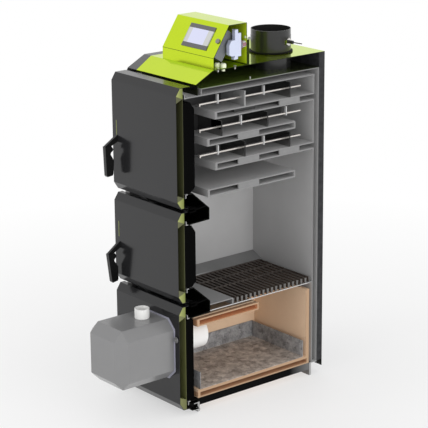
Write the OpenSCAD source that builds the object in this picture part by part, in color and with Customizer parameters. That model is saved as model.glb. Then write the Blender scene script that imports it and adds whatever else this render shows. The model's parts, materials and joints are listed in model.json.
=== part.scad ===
// Pellet boiler, shown as a cutaway: everything right of one upright plane is left out.
// Origin: on the floor, in the centre plane of the whole boiler, halfway along the casing.
// +X points to the right side, +Y to the flue side, +Z up. All lengths in millimetres.

/* [Casing] */
// Width of the whole casing, the part cut away included
casing_w = 564; // [540:2:620]
// Distance of the section plane from the centre plane
cut_x = 144; // [132:1:156]
// Depth from the door fronts to the rear panel
casing_d = 748; // [720:2:800]
// Height of the base rails under the body
leg_h = 56; // [50:1:70]
// Thickness of the casing sheets
sheet_t = 1.5; // [1:0.1:2]
// Thickness of the side insulation
side_wool_t = 25.5; // [20:0.5:35]
// Thickness of the rear insulation
rear_wool_t = 27.5; // [22:0.5:40]
// Height of the space under the top cover
hood_space = 59; // [50:1:70]
// Drop of the sloping hood at the front
hood_drop = 42; // [34:1:46]
// Run of the sloping hood from front to back
hood_run = 82; // [70:1:100]

/* [Doors] */
// Height of the lower door
lower_door_h = 426; // [424:1:450]
// Height of the middle door
middle_door_h = 361; // [350:1:400]
// Height of the upper door
upper_door_h = 467; // [462:1:500]
// Gap between two doors
door_gap = 15; // [15:0.5:18]
// Space between the floor and the lower door
door_floor_gap = 24; // [22:1:28]
// Half of the width of a whole door
door_half_w = 258; // [256:0.5:262]
// Depth of the bevel along the top and bottom of a door
bevel_d = 19; // [14:1:24]
// Height of that bevel
bevel_h = 29; // [22:1:34]
// Depth of the folded door edges
door_edge_d = 69; // [60:1:70]
// Depth from the door front to its inner plate
inner_plate_d = 33; // [31:0.5:34]
// Thickness of the insulation of the upper and middle doors
lining_t = 54; // [40:1:58]
// Thickness of the insulation of the lower door
lower_lining_t = 38; // [26:1:42]

/* [Water jacket] */
// Thickness of the boiler plate
plate_t = 5; // [4:0.5:6]
// Width of the water space
water_gap = 20; // [16:0.5:22]
// Depth from the door fronts to the front frame
frame_d = 52; // [52:0.5:54]
// Thickness of a water shelf
shelf_t = 30; // [26:1:32]
// Wall of a water shelf
shelf_wall = 5.5; // [4:0.5:7]
// Height of the first gas pass, under the jacket top
first_pass_h = 70; // [66:1:74]
// Height of the second, third and fourth pass
pass_h = 69.5; // [64:0.5:70]

/* [Grate and lower chamber] */
// Thickness of the grate
grate_t = 21.5; // [18:0.5:24]
// Number of grate castings from front to back
grate_count = 3; // [2:1:5]
// Number of slots across one casting
slot_count = 6; // [4:1:7]
// Thickness of the chamber floor
floor_tile_t = 34; // [28:1:36]
// Thickness of the chamber side wall
side_tile_t = 31; // [24:1:34]
// Thickness of the chamber rear wall
rear_tile_t = 17; // [14:1:20]
// Height of the ash pan
pan_h = 72; // [50:1:90]

/* [Burner] */
// Width of the burner cover
burner_w = 230; // [220:2:236]
// Height of the burner cover
burner_h = 240; // [228:2:244]
// How far the burner stands out of the door
burner_d = 261; // [250:1:280]
// Bevel along the edges of the burner cover
burner_bevel = 38; // [26:1:42]
// Outer radius of the flame tube
flame_r = 64.5; // [60:0.5:72]
// Outer radius of the pellet inlet
inlet_r = 29; // [27:0.5:32]
// Height of the pellet inlet above the cover
inlet_h = 39; // [30:1:60]

/* [Flue and water] */
// Outer radius of the flue outlet
flue_r = 80; // [75:1:84]
// Height of the flue outlet above the top cover
flue_h = 92; // [70:1:110]
// Bore radius of the water sockets
socket_bore_r = 20.9; // [16:0.1:22]
// Length of a water socket behind the rear panel
socket_out = 30; // [24:1:40]

/* [Control box] */
// Half of the width of the whole box
box_half_w = 168; // [160:1:190]
// Height of the box above the cover
box_h = 162.5; // [158:0.5:180]
// Height of its upright front
box_front_h = 46.5; // [40:0.5:50]
// Depth of the box
box_d = 163.5; // [160:0.5:180]
// Depth of the sloping face
box_slope_d = 76.5; // [70:0.5:80]

/* [Hidden] */
$fn = 96;

// Overrun of every cut
over = 1;
// Clearance between pieces that must not touch
fit_gap = 0.3;
// Radial clearance of a running shaft or pin
run_gap = 0.08;

// Planes of the body
front_y = -casing_d / 2;
rear_y = casing_d / 2;
left_x = -casing_w / 2;
jacket_t = 2 * plate_t + water_gap;
jacket_x = left_x + sheet_t + side_wool_t;
furnace_x = jacket_x + jacket_t;
jacket_y = rear_y - sheet_t - rear_wool_t;
furnace_y = jacket_y - jacket_t;
frame_y = front_y + frame_d;

// Heights of the doors, of the gaps between them and of the top
lower_z = door_floor_gap;
low_gap_z = lower_z + lower_door_h + door_gap / 2;
middle_z = low_gap_z + door_gap / 2;
high_gap_z = middle_z + middle_door_h + door_gap / 2;
upper_z = high_gap_z + door_gap / 2;
door_top_z = upper_z + upper_door_h;
hood_lip = 2;
cover_z = door_top_z + hood_lip + hood_drop;
jacket_z = cover_z - hood_space;
furnace_z = jacket_z - jacket_t;

// Base
rail_t = 4;
foot_t = 10;
foot_lip = 18;
foot_lip_z = 36;
side_rail_h = 30;
side_rail_in = 2;
rail_front_gap = 36;
rail_front_y = frame_y + rail_front_gap;
rail_rear_y = furnace_y;
panel_floor_gap = 28;
panel_front_gap = 22;
sill_t = 4;

// Cross members: channels that are open to the front, in the gaps between the doors
member_t = 4;
member_in = 29;
member_x = furnace_x + member_in;
member_up = 58;
member_down = 57;
member_land = 21;
member_d = 100;
member_slope_end = -12;
member_low = -53;

// Openings of the front frame
upper_open_lo = high_gap_z + member_up + member_t;
upper_open_hi = furnace_z;
middle_open_lo = low_gap_z + member_up + member_t;
middle_open_hi = high_gap_z - member_down - member_t;
lower_open_lo = leg_h;
lower_open_hi = low_gap_z - member_down - member_t;

// Seat strips and rope around the openings
strip_t = 3.5;
strip_out = 11;
strip_h = 16;
rope_t = 6.5;
rope_w = 9;
strip_y = frame_y - strip_out;

// Doors
door_left = -door_half_w;
inner_y = front_y + inner_plate_d;
inner_plate_t = 1.5;
edge_strip_front = 56;
edge_strip_rear = 43;
side_edge_d = 40;
notch_gap = 5;
lining_side_gap = 10;
lining_gap = 4;
lining_top_drop = 15.5;
lining_bevel_d = 19;
lining_bevel_top = 28;
lining_bevel_low = 17;

// Hinges, just past the section plane
pin_r = 4;
eye_r = 7.5;
pin_out = 8;
pin_x = cut_x + pin_out;
pin_back = 24;
pin_y = frame_y + pin_back;
eye_t = 4;
lug_t = 5;
eye_gap = 1;
eye_arm = 32;
eye_reach = 27;
top_lug_gap = 0.5;

// Handles
handle_x = -232;
handle_w = 17;
handle_out = 61.5;
handle_len = 140;
handle_lean = 12.5;
lean_rise_share = 0.4;
arm_in = 3;
shaft_r = 6;
upper_handle_up = 204;
middle_handle_up = 148;
lower_handle_up = 230;
cam_t = 4;
cam_w = 12;
cam_len = 15;
cam_back = 6;
keeper_gap = 0.5;
keeper_w = 12;
keeper_h = 30;

// Furnace
deck_t = 4;
grate_drop = 27.3;
grate_top = low_gap_z - grate_drop;
grate_z = grate_top - grate_t;
grate_left = -168;
grate_front_y = -101.5;
grate_rear_gap = 12;
grate_rear_y = furnace_y - grate_rear_gap;
grate_gap = 0.6;
grate_rim = 10;
slot_w_top = 10.5;
slot_w_low = 15;
ledge_w = 12;
slope_rise = 25;
slope_gap = 0.4;

// Lower chamber
tile_gap = 13;
tile_left = furnace_x + tile_gap;
tile_front_gap = 39;
tile_front_y = frame_y + tile_front_gap;
tile_rear_y = furnace_y - tile_gap;
tile_wall = 6;
floor_top = leg_h + floor_tile_t;
chamber_x = tile_left + side_tile_t;
chamber_y = tile_rear_y - rear_tile_t;
deflector_t = 31;
deflector_top_gap = 9;
deflector_top = lower_open_hi - rail_t - deflector_top_gap;
deflector_z = deflector_top - deflector_t;
deflector_len = 313;
tile_top_drop = 4;
tile_top = deflector_top - tile_top_drop;
carrier_front = 19;
carrier_len = 306;
pan_wall = 2;
pan_gap = 3;
pan_front_gap = 12;
pan_rear_gap = 16;

// Gas passes, from the top down
shelf_front_short = 135;
shelf_front_long = 97;
shelf_rear_gap = 94;
function shelf_z(i) = furnace_z - first_pass_h - shelf_t - i * (pass_h + shelf_t);
stay_t = 8;
stay_len = 106;
stay_front_y = -72.5;
stay_rear_y = 137;

// Turbulators: rods with baffles and narrow tabs
rod_r = 4;
rod_x = 117;
rod_front_y = -244;
rod_rear_y = 268.5;
rod_drop = 38.5;
hook_h = 3.6;
hook_share = 0.9;
baffle_t = 5.5;
baffle_gap = 10;
baffle_side_gap = 3;
baffle_y0 = -156.5;
baffle_pitch = 115.3;
tab_w = 11;
tab_under = 8;
web_short = 20;

// Flue
flue_wall = 3;
flue_rear_gap = 157;
flue_y = rear_y - flue_rear_gap;
spigot_len = 26;
spigot_step = 0.8;
flue_top = cover_z + flue_h;
gasket_w = 7;
gasket_t = 6;
cover_hole_gap = 3;
sensor_down = 44;
sensor_turn = 8;
bush_r = 16;
bush_len = 16;
probe_bore_r = 5;
probe_r = 4.9;
sensor_body_r = 7;
sensor_body_len = 20;
sensor_stem_r = 2;
sensor_stem_len = 44;
probe_in = 45;

// Water
socket_wall = 5;
socket_step = 2;
socket_x = -150;
supply_z = 1225;
return_z = 150;
drain_x = -60;
drain_z = 110;
drain_r = 11;
drain_bore_r = 6;
drain_out = 52;
drain_mouth_r = 7.5;
drain_mouth_len = 14;
drain_body_r = 15;
drain_body_len = 24;
drain_body_back = 14;
drain_stem_r = 4;
drain_stem_h = 8;
lever_len = 60;
lever_w = 14;
lever_t = 4;
hole_gap = 1;

// Control box
box_front_y = -191;
box_rear_y = box_front_y + box_d;
box_top_z = cover_z + box_h;
box_slope_h = box_h - box_front_h;
slope_len = sqrt(box_slope_d * box_slope_d + box_slope_h * box_slope_h);
slope_angle = atan2(box_slope_h, box_slope_d);
screen_x = 9;
screen_half_w = 74.5;
screen_low = 22;
screen_h = 96;
bezel_t = 3;
bezel_rim = 6;
glass_t = 1;
glass_bar = 17;
housing_in = 10;
case_left = -105;
case_right = 103;
case_low = 12;
case_h = 116;
case_d = 60;
button_x = 125;
button_up = 68;
button_r = 8;
button_out = 5;
button_in = 12;
button_rim = 1.5;
button_travel = 2;
rail_up = 80;
rail_z = cover_z + rail_up;
rail_h = 35;
rail_d = 7.5;
rail_lip = 5;
rail_wall = 1.2;
rail_stand = 16;
rail_end_gap = 1.5;
spacer_r = 12;
module_w = 18;
module_cut_gap = 3;
module_x = cut_x - module_cut_gap - module_w;

// Burner
burner_over_flame = 0.5;
flame_under_deflector = 17.5;
flame_z = deflector_z - flame_under_deflector - flame_r;
burner_z = flame_z + burner_over_flame;
burner_flange_t = 4;
burner_flange_rim = 5;
burner_wall = 2;
flame_wall = 3;
flame_reach = 210;
hole_clear = 1;
inlet_out = 68;
inlet_y = front_y - inlet_out;
inlet_step = 1;
inlet_step_up = 1;
inlet_wall = 3;
auger_tube_r = 31;
auger_tube_wall = 2.5;
auger_shaft_r = 7;
auger_r = 27;
auger_pitch = 45;
auger_blade = 3;
auger_turns = 4;
auger_slices = 18;
fan_r = 42;
fan_w = 24;
fan_x = -58;
fan_low = 59;
fan_z = burner_z - fan_low;
fan_out = 120;
fan_y = front_y - fan_out;
fan_hub_r = 12;
fan_shaft_r = 4;
fan_blades = 12;
fan_disc_t = 2;
motor_r = 24;
motor_len = 46;
gear_r = 26;
gear_len = 52;
stud_r = 3;
stud_len = 14;
washer_r = 12;
washer_t = 2;
washer_lap = 1;
nut_r = 6.5;
nut_h = 5;
nut_up = 48;

function inset(n1, n2, s) = s * (n1 + n2) / (1 + n1 * n2);

module slab(lo, hi) {
    translate(lo)
        cube(hi - lo);
}

// Outline in Y and Z, extruded along X
module prism_x(x0, x1, outline) {
    translate([x0, 0, 0])
        rotate([90, 0, 90])
            linear_extrude(x1 - x0)
                polygon(outline);
}

// Outline in X and Z, extruded along Y
module prism_y(y0, y1, outline) {
    translate([0, y1, 0])
        rotate([90, 0, 0])
            linear_extrude(y1 - y0)
                polygon(outline);
}

// Round bar along Y
module bar_y(x, y0, y1, z, r) {
    translate([x, y1, z])
        rotate([90, 0, 0])
            cylinder(h = y1 - y0, r = r);
}

// Rails that carry the body: one along the front with a lip and the sill of the lower
// opening, one along the rear, and two flat bars from front to rear
module base_rails() {
    color("dimgray") {
        prism_x(jacket_x, cut_x, [
            [rail_front_y, 0],
            [rail_front_y + foot_t, 0],
            [rail_front_y + foot_t, leg_h],
            [frame_y, leg_h],
            [frame_y, leg_h - sill_t],
            [rail_front_y, leg_h - sill_t],
            [rail_front_y, foot_lip_z + rail_t],
            [rail_front_y - foot_lip, foot_lip_z + rail_t],
            [rail_front_y - foot_lip, foot_lip_z],
            [rail_front_y, foot_lip_z]
        ]);
        prism_x(jacket_x, cut_x, [
            [rail_rear_y - foot_t, 0],
            [rail_rear_y, 0],
            [rail_rear_y, leg_h - sill_t],
            [jacket_y, leg_h - sill_t],
            [jacket_y, leg_h],
            [rail_rear_y - foot_t, leg_h]
        ]);
        for (x = [jacket_x + side_rail_in, cut_x - side_rail_in - rail_t])
            slab([x, rail_front_y + foot_t + root_gap / 2, leg_h - side_rail_h],
                [x + rail_t, rail_rear_y - foot_t - root_gap / 2, leg_h]);
    }
}

module side_panel() {
    color("#303234")
        prism_x(left_x, left_x + sheet_t, [
            [frame_y + panel_front_gap, panel_floor_gap],
            [rear_y - sheet_t, panel_floor_gap],
            [rear_y - sheet_t, cover_z - sheet_t],
            [hood_rear_y, cover_z - sheet_t],
            [hood_front_y, hood_front_z - sheet_t],
            [frame_y + panel_front_gap, hood_front_z - sheet_t]
        ]);
}

// Boards of mineral wool behind the side panel and the rear panel
module casing_insulation() {
    color("#2a2b2d") {
        slab([left_x + sheet_t, frame_y + panel_front_gap, leg_h],
            [jacket_x, rear_y - sheet_t, jacket_z]);
        difference() {
            slab([jacket_x + fit_gap, jacket_y, leg_h],
                [cut_x, rear_y - sheet_t, cover_z - sheet_t]);
            water_holes(drain_r, socket_bore_r + socket_wall);
        }
    }
}

// Holes for the sockets and the drain cock, with their outer radius plus a clearance
module water_holes(drain_hole_r, socket_hole_r) {
    for (z = [supply_z, return_z])
        bar_y(socket_x, jacket_y - plate_t - over, rear_y + over, z, socket_hole_r + hole_gap);
    bar_y(drain_x, jacket_y - plate_t - over, rear_y + over, drain_z, drain_hole_r + hole_gap);
}

module rear_panel() {
    color("#27292b")
        difference() {
            slab([left_x, rear_y - sheet_t, panel_floor_gap],
                [cut_x, rear_y, cover_z - sheet_t]);
            water_holes(drain_r, socket_bore_r + socket_wall);
        }
}

hood_box_gap = 4;
hood_rear_y = box_front_y - hood_box_gap;
hood_front_y = hood_rear_y - hood_run;
hood_front_z = cover_z - hood_drop;
trim_w = 43;
trim_toe = 15;
trim_x = left_x + trim_w;

// Line across the hood where the dark side trim ends and the green panels start
hood_outline = [
    [trim_x + trim_toe, hood_front_y],
    [cut_x, hood_front_y],
    [cut_x, hood_rear_y],
    [trim_x, hood_rear_y]
];

module top_cover() {
    color("#bcd820")
        difference() {
            slab([trim_x, hood_rear_y, cover_z - sheet_t], [cut_x, rear_y, cover_z]);
            translate([0, flue_y, cover_z - sheet_t - over])
                cylinder(h = sheet_t + 2 * over, r = flue_r + cover_hole_gap);
            for (x = gland_xs)
                translate([x, gland_y(x), cover_z - sheet_t - over])
                    cylinder(h = sheet_t + 2 * over, r = gland_hole_r);
            for (y = screw_ys)
                translate([screw_x, y, cover_z - sheet_t - over])
                    cylinder(h = sheet_t + 2 * over, r = stud_r + run_gap);
        }
}

module hood_sheet() {
    prism_x(left_x, cut_x, [
        [hood_front_y, hood_front_z - sheet_t],
        [hood_front_y, hood_front_z],
        [hood_rear_y, cover_z],
        [hood_rear_y, cover_z - sheet_t]
    ]);
}

module hood_slope_panel() {
    color("#c2dc3c")
        intersection() {
            hood_sheet();
            translate([0, 0, hood_front_z - 2 * sheet_t])
                linear_extrude(hood_drop + 3 * sheet_t)
                    polygon(hood_outline);
        }
}

module hood_side_trim() {
    color("#66676b") {
        difference() {
            union() {
                intersection() {
                    hood_sheet();
                    slab([left_x, hood_front_y, hood_front_z - 2 * sheet_t],
                        [trim_x + trim_toe, hood_rear_y, cover_z + over]);
                }
                slab([left_x, hood_rear_y, cover_z - sheet_t], [trim_x, rear_y, cover_z]);
            }
            translate([0, 0, hood_front_z - 2 * sheet_t])
                linear_extrude(hood_drop + 3 * sheet_t)
                    polygon(hood_outline);
        }
    }
}

recess_d = 69;
root_gap = 0.3;
jacket_front_top_y = frame_y + recess_d;

// Plate with half a root gap left along each of its sides
module plate(lo, hi) {
    half = [root_gap, root_gap, root_gap] / 2;
    slab(lo + half, hi - half);
}

// Outer plates of the water jacket, with the strip that closes it at the front
module jacket_outer_shell() {
    color("#909294") {
        plate([jacket_x, frame_y + plate_t, leg_h],
            [jacket_x + plate_t, jacket_y - plate_t, jacket_z - plate_t]);
        difference() {
            plate([jacket_x, jacket_y - plate_t, leg_h], [cut_x, jacket_y, jacket_z - plate_t]);
            water_holes(drain_bore_r - hole_gap, socket_bore_r - socket_step - hole_gap);
        }
        difference() {
            plate([jacket_x, jacket_front_top_y, jacket_z - plate_t], [cut_x, jacket_y, jacket_z]);
            translate([0, flue_y, jacket_z - plate_t - over])
                cylinder(h = plate_t + 2 * over, r = flue_r + run_gap);
        }
        plate([jacket_x, frame_y, leg_h], [furnace_x, frame_y + plate_t, jacket_z]);
        plate([jacket_x + plate_t, frame_y + plate_t, furnace_z + plate_t],
            [furnace_x, jacket_front_top_y, furnace_z + 2 * plate_t]);
        plate([jacket_x + plate_t, jacket_front_top_y, furnace_z + plate_t],
            [cut_x, jacket_front_top_y + plate_t, jacket_z - plate_t]);
        plate([jacket_x + plate_t, frame_y + plate_t, leg_h],
            [furnace_x - plate_t, jacket_y - plate_t, leg_h + plate_t]);
        plate([furnace_x - plate_t, jacket_y - plate_t - water_gap, leg_h],
            [cut_x, jacket_y - plate_t, leg_h + plate_t]);
    }
}

// Inner plates of the water jacket, round the furnace and the gas passes
module jacket_inner_shell() {
    color("#a2a4a6") {
        slab([furnace_x - plate_t, frame_y + plate_t, leg_h],
            [furnace_x, furnace_y + plate_t, furnace_z + plate_t]);
        difference() {
            slab([furnace_x, furnace_y, leg_h], [cut_x, furnace_y + plate_t, furnace_z]);
            for (i = [0, 2])
                slab([furnace_x + water_gap, furnace_y - over, shelf_z(i) + shelf_wall],
                    [cut_x + over, furnace_y + plate_t + over, shelf_z(i) + shelf_t - shelf_wall]);
        }
        difference() {
            slab([furnace_x, frame_y, furnace_z], [cut_x, furnace_y + plate_t, furnace_z + plate_t]);
            translate([0, flue_y, furnace_z - over])
                cylinder(h = plate_t + 2 * over, r = flue_r + run_gap);
        }
    }
}

function shelf_front(i) = i % 2 == 0 ? frame_y + shelf_front_short : frame_y + shelf_front_long;
function shelf_rear(i) = i % 2 == 0 ? furnace_y : furnace_y - shelf_rear_gap;

// Hollow water shelves, which turn the flue gas back and forth
module water_shelves() {
    color("#9a9c9e")
        for (i = [0:3])
            difference() {
                slab([furnace_x, shelf_front(i), shelf_z(i)],
                    [cut_x, shelf_rear(i), shelf_z(i) + shelf_t]);
                slab([furnace_x + shelf_wall, shelf_front(i) + 2 * shelf_wall,
                    shelf_z(i) + shelf_wall],
                    [cut_x + over, i % 2 == 0 ? shelf_rear(i) + over : shelf_rear(i) - shelf_wall,
                    shelf_z(i) + shelf_t - shelf_wall]);
            }
}

// Short tie plates welded inside the shelves
module stay(i, y0, x1) {
    slab([x1 - stay_t, y0, shelf_z(i) + shelf_wall],
        [x1, y0 + stay_len, shelf_z(i) + shelf_t - shelf_wall]);
}

module shelf_stays() {
    color("#b0b2b4") {
        for (i = [0, 2])
            stay(i, stay_rear_y, cut_x);
        for (i = [1:3])
            stay(i, stay_front_y, cut_x);
        stay(0, stay_front_y, cut_x - 3 * stay_t);
    }
}

// Outline of a channel between two doors: land, slope, rear wall and bottom
slope_turn = atan((member_up - member_slope_end) / (member_d - member_land));

function member_inner(z) = [
    [frame_y, z + member_up],
    [frame_y + member_land, z + member_up],
    [frame_y + member_d, z + member_slope_end],
    [frame_y + member_d, z + member_low],
    [frame_y, z - member_down]
];

function member_outer(z) = [
    [frame_y, z + member_up + member_t],
    [frame_y + member_land + member_t * tan(slope_turn / 2), z + member_up + member_t],
    [frame_y + member_d + member_t, z + member_slope_end + member_t * tan(45 - slope_turn / 2)],
    [frame_y + member_d + member_t, z + member_low - member_t],
    [frame_y, z - member_down - member_t]
];

module cross_member(z) {
    color("#1b1c1e")
        difference() {
            prism_x(member_x, cut_x, member_outer(z));
            translate([0, -over, 0])
                prism_x(member_x - over, cut_x + over, [
                    [frame_y, z + member_up],
                    [frame_y + 2 * over, z + member_up],
                    [frame_y + 2 * over, z - member_down],
                    [frame_y, z - member_down]
                ]);
            prism_x(member_x - over, cut_x + over, member_inner(z));
        }
}

module cross_members() {
    for (z = [low_gap_z, high_gap_z])
        cross_member(z);
}

// Upright plate over the upper door, behind the recess under the hood
module top_front_member() {
    color("#26281f")
        slab([member_x, recess_wall_y, furnace_z + plate_t],
            [cut_x, recess_wall_y + member_t, door_top_z - recess_wall_drop]);
}

recess_wall_gap = 15;
recess_wall_drop = 4;
recess_wall_y = jacket_front_top_y - recess_wall_gap - member_t;

// Angle strip along X at the edge of an opening, its leg pointing up or down
module seat_strip(z0, z1, leg_z) {
    slab([furnace_x, strip_y, z0], [cut_x, frame_y, z1]);
    slab([furnace_x, strip_y, min(z0, leg_z)], [cut_x, strip_y + strip_t, max(z1, leg_z)]);
}

module side_strip(z0, z1) {
    slab([furnace_x, strip_y, z0], [furnace_x + strip_t, frame_y, z1]);
}

// Light strips round the three openings and the pads on which the latches bear
module door_seat_strips() {
    color("#b8babd") {
        seat_strip(upper_open_hi, upper_open_hi + strip_t, upper_open_hi + strip_h);
        side_strip(upper_open_lo, upper_open_hi);
        seat_strip(upper_open_lo - strip_t, upper_open_lo, upper_open_lo - strip_h);
        seat_strip(middle_open_hi, middle_open_hi + strip_t, middle_open_hi + strip_h);
        side_strip(middle_open_lo, middle_open_hi);
        seat_strip(middle_open_lo - strip_t, middle_open_lo, middle_open_lo - strip_h);
        seat_strip(lower_open_hi, lower_open_hi + strip_t, lower_open_hi + strip_h);
        side_strip(lower_open_lo, lower_open_hi);
        seat_strip(lower_open_lo - strip_t, lower_open_lo, lower_open_lo - strip_h);
        for (z = handle_zs)
            slab([handle_x - shaft_r - cam_len, strip_y + cam_shift, z - keeper_h / 2],
                [handle_x - shaft_r - cam_len + keeper_w, frame_y, z + keeper_h / 2]);
    }
}

cam_y = strip_y - cam_t + keeper_gap;
cam_shift = 2 * keeper_gap;
handle_zs = [lower_z + lower_handle_up, middle_z + middle_handle_up, upper_z + upper_handle_up];

// Rope seal in front of the strips
module rope_loop(z0, z1) {
    rope_y = strip_y - fit_gap;
    rope_x = furnace_x + lining_side_gap - lining_gap;
    slab([furnace_x, rope_y - rope_t, z0 - rope_w - strip_t], [cut_x, rope_y, z0 - strip_t]);
    slab([furnace_x, rope_y - rope_t, z1 + strip_t], [cut_x, rope_y, z1 + strip_t + rope_w]);
    slab([furnace_x, rope_y - rope_t, z0 - strip_t],
        [rope_x, rope_y, z1 + strip_t]);
}

module rope_seals() {
    color("#1a1a1a") {
        rope_loop(upper_open_lo, upper_open_hi);
        rope_loop(middle_open_lo, middle_open_hi);
        rope_loop(lower_open_lo, lower_open_hi);
    }
}

// Sloping plate between the side wall and the grate, with a ledge for the grate
module furnace_slope_plate() {
    color("#7c7e80")
        prism_y(member_back_y, furnace_y, [
            [furnace_x, grate_top + slope_rise],
            [grate_left - slope_gap, grate_top],
            [grate_left - slope_gap, grate_z],
            [grate_left + ledge_w, grate_z],
            [grate_left + ledge_w, grate_z - deck_t],
            [grate_left - slope_gap - deck_t, grate_z - deck_t],
            [grate_left - slope_gap - deck_t, grate_top - deck_t],
            [furnace_x, grate_top + slope_rise - deck_t]
        ]);
}

member_back_y = frame_y + member_d + member_t;

// Steel deck in front of the grate, and the ledge behind it
module furnace_front_deck() {
    color("#8f9194") {
        slab([grate_left, member_back_y, grate_top - deck_t / 2],
            [cut_x, grate_front_y - slope_gap, grate_top + deck_t / 2]);
        slab([grate_left + ledge_w, grate_front_y - slope_gap - deck_t, grate_z - deck_t],
            [cut_x, grate_front_y - slope_gap, grate_top]);
        slab([grate_left + ledge_w, grate_rear_y - ledge_w, grate_z - deck_t],
            [cut_x, furnace_y, grate_z]);
    }
}

// Ends of the three rows of slots across a casting
slot_rows = [
    [grate_left + grate_rim, grate_left / 2 - grate_rim / 2],
    [grate_left / 2 + grate_rim / 2, -grate_rim / 2],
    [grate_rim / 2, cut_x + over]
];

// Grate castings side by side, their slots wider at the bottom
module grate_castings() {
    casting_d = (grate_rear_y - grate_front_y) / grate_count;
    slot_pitch = casting_d / slot_count;
    color("#2c2624")
        for (i = [0:grate_count - 1])
            translate([0, grate_front_y + i * casting_d, 0])
                difference() {
                    slab([grate_left, 0, grate_z], [cut_x, casting_d - grate_gap, grate_top]);
                    for (j = [0:slot_count - 1], row = slot_rows)
                        translate([0, (j + 1 / 2) * slot_pitch, 0])
                            prism_x(row[0], row[1], [
                                [-slot_w_top / 2, grate_top + over],
                                [slot_w_top / 2, grate_top + over],
                                [slot_w_low / 2, grate_z - over],
                                [-slot_w_low / 2, grate_z - over]
                            ]);
                }
}

// Ceramic lining of the lower chamber: floor, side wall and rear wall
module chamber_liner() {
    color("#c0946e") {
        difference() {
            slab([tile_left, tile_front_y, leg_h], [cut_x, tile_rear_y, floor_top]);
            slab([tile_left + tile_wall, tile_front_y + 2 * tile_wall, leg_h + tile_wall],
                [cut_x + over, tile_rear_y - 2 * tile_wall, floor_top - 2 * tile_wall]);
        }
        prism_x(tile_left, chamber_x, [
            [tile_front_y, floor_top],
            [tile_rear_y, floor_top],
            [tile_rear_y, tile_top],
            [deflector_rear_y + fit_gap, tile_top],
            [deflector_rear_y + fit_gap, deflector_z],
            [tile_front_y, deflector_z]
        ]);
        slab([chamber_x, chamber_y, floor_top], [cut_x, tile_rear_y, tile_top]);
    }
}

deflector_rear_y = tile_front_y + deflector_len;

// Plate over the deflector, level with the bottom of the lower cross member
module deflector_carrier() {
    color("#a9abad")
        slab([furnace_x, frame_y + carrier_front, lower_open_hi - rail_t],
            [cut_x, frame_y + carrier_front + carrier_len, lower_open_hi]);
}

module flame_deflector() {
    color("#c89a72")
        difference() {
            slab([tile_left, tile_front_y, deflector_z],
                [cut_x, deflector_rear_y, deflector_top]);
            slab([chamber_x, tile_front_y + 2 * tile_wall, deflector_z + tile_wall],
                [cut_x + over, deflector_rear_y - tile_wall, deflector_top - tile_wall]);
        }
}

// Open tray of galvanised sheet
module ash_pan() {
    pan_lo = [chamber_x + pan_gap, tile_front_y + pan_front_gap, floor_top];
    pan_hi = [cut_x, chamber_y - pan_rear_gap, floor_top + pan_h];
    color("#85827c")
        difference() {
            slab(pan_lo, pan_hi);
            slab(pan_lo + [pan_wall, pan_wall, pan_wall], pan_hi + [over, -pan_wall, over]);
        }
}

// Height of the rod axis in pass i, counted from the top
function pass_top(i) = i == 0 ? furnace_z : shelf_z(i - 1);
function pass_floor(i) = shelf_z(i) + shelf_t;
function rod_z(i) = pass_top(i) - rod_drop;

module turbulator_rods() {
    color("#c8c4be")
        for (i = [0:2], side = [-1, 1]) {
            bar_y(side * rod_x, rod_front_y, rod_rear_y, rod_z(i), rod_r);
            translate([side * rod_x, rod_front_y + rod_r, rod_z(i) - rod_r - hook_h])
                cylinder(h = hook_h + rod_r, r = rod_r * hook_share);
        }
}

// Full-width baffles that stand on the shelf, in turn with narrow tabs under the ceiling
module baffle(i, side, y) {
    x0 = side < 0 ? furnace_x + baffle_side_gap : baffle_side_gap / 2;
    x1 = side < 0 ? -baffle_side_gap / 2 : cut_x;
    difference() {
        slab([x0, y, pass_floor(i)], [x1, y + baffle_t, pass_top(i) - baffle_gap]);
        bar_y(side * rod_x, y - over, y + baffle_t + over, rod_z(i), rod_r + run_gap);
    }
}

module tab(i, side, y) {
    difference() {
        slab([side * rod_x - tab_w / 2, y, rod_z(i) - tab_under],
            [side * rod_x + tab_w / 2, y + baffle_t, pass_top(i) - baffle_gap]);
        bar_y(side * rod_x, y - over, y + baffle_t + over, rod_z(i), rod_r + run_gap);
    }
}

// Upright web between the left and the right baffles of a pass
module centre_web(i) {
    half_t = baffle_side_gap / 2 - fit_gap;
    slab([-half_t, rod_front_y + web_short, pass_floor(i)],
        [half_t, rod_rear_y, pass_top(i) - baffle_gap]);
}

module turbulator_baffles() {
    color("#4c4d4f") {
        for (i = [0:2], side = [-1, 1], k = [0:3])
            if ((i + k) % 2 == 1)
                baffle(i, side, baffle_y0 + k * baffle_pitch);
            else
                tab(i, side, baffle_y0 + k * baffle_pitch);
        for (i = [0:2])
            centre_web(i);
    }
}

module flue_axis() {
    translate([0, flue_y, flue_top - sensor_down])
        rotate([0, 0, sensor_turn])
            rotate([0, 90, 0])
                children();
}

// Outlet with a slightly smaller end, over which the flue pipe slips
module flue_outlet() {
    color("#3c3d3f")
        difference() {
            translate([0, flue_y, furnace_z]) {
                cylinder(h = flue_top - spigot_len - furnace_z, r = flue_r);
                cylinder(h = flue_top - furnace_z, r = flue_r - spigot_step);
            }
            translate([0, flue_y, furnace_z - over])
                cylinder(h = flue_top - furnace_z + 2 * over, r = flue_r - flue_wall);
            flue_axis()
                cylinder(h = flue_r + over, r = probe_bore_r);
        }
}

module flue_gasket() {
    color("#101010")
        translate([0, flue_y, cover_z])
            difference() {
                cylinder(h = gasket_t, r = flue_r + gasket_w);
                translate([0, 0, -over])
                    cylinder(h = gasket_t + 2 * over, r = flue_r + run_gap);
            }
}

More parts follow.
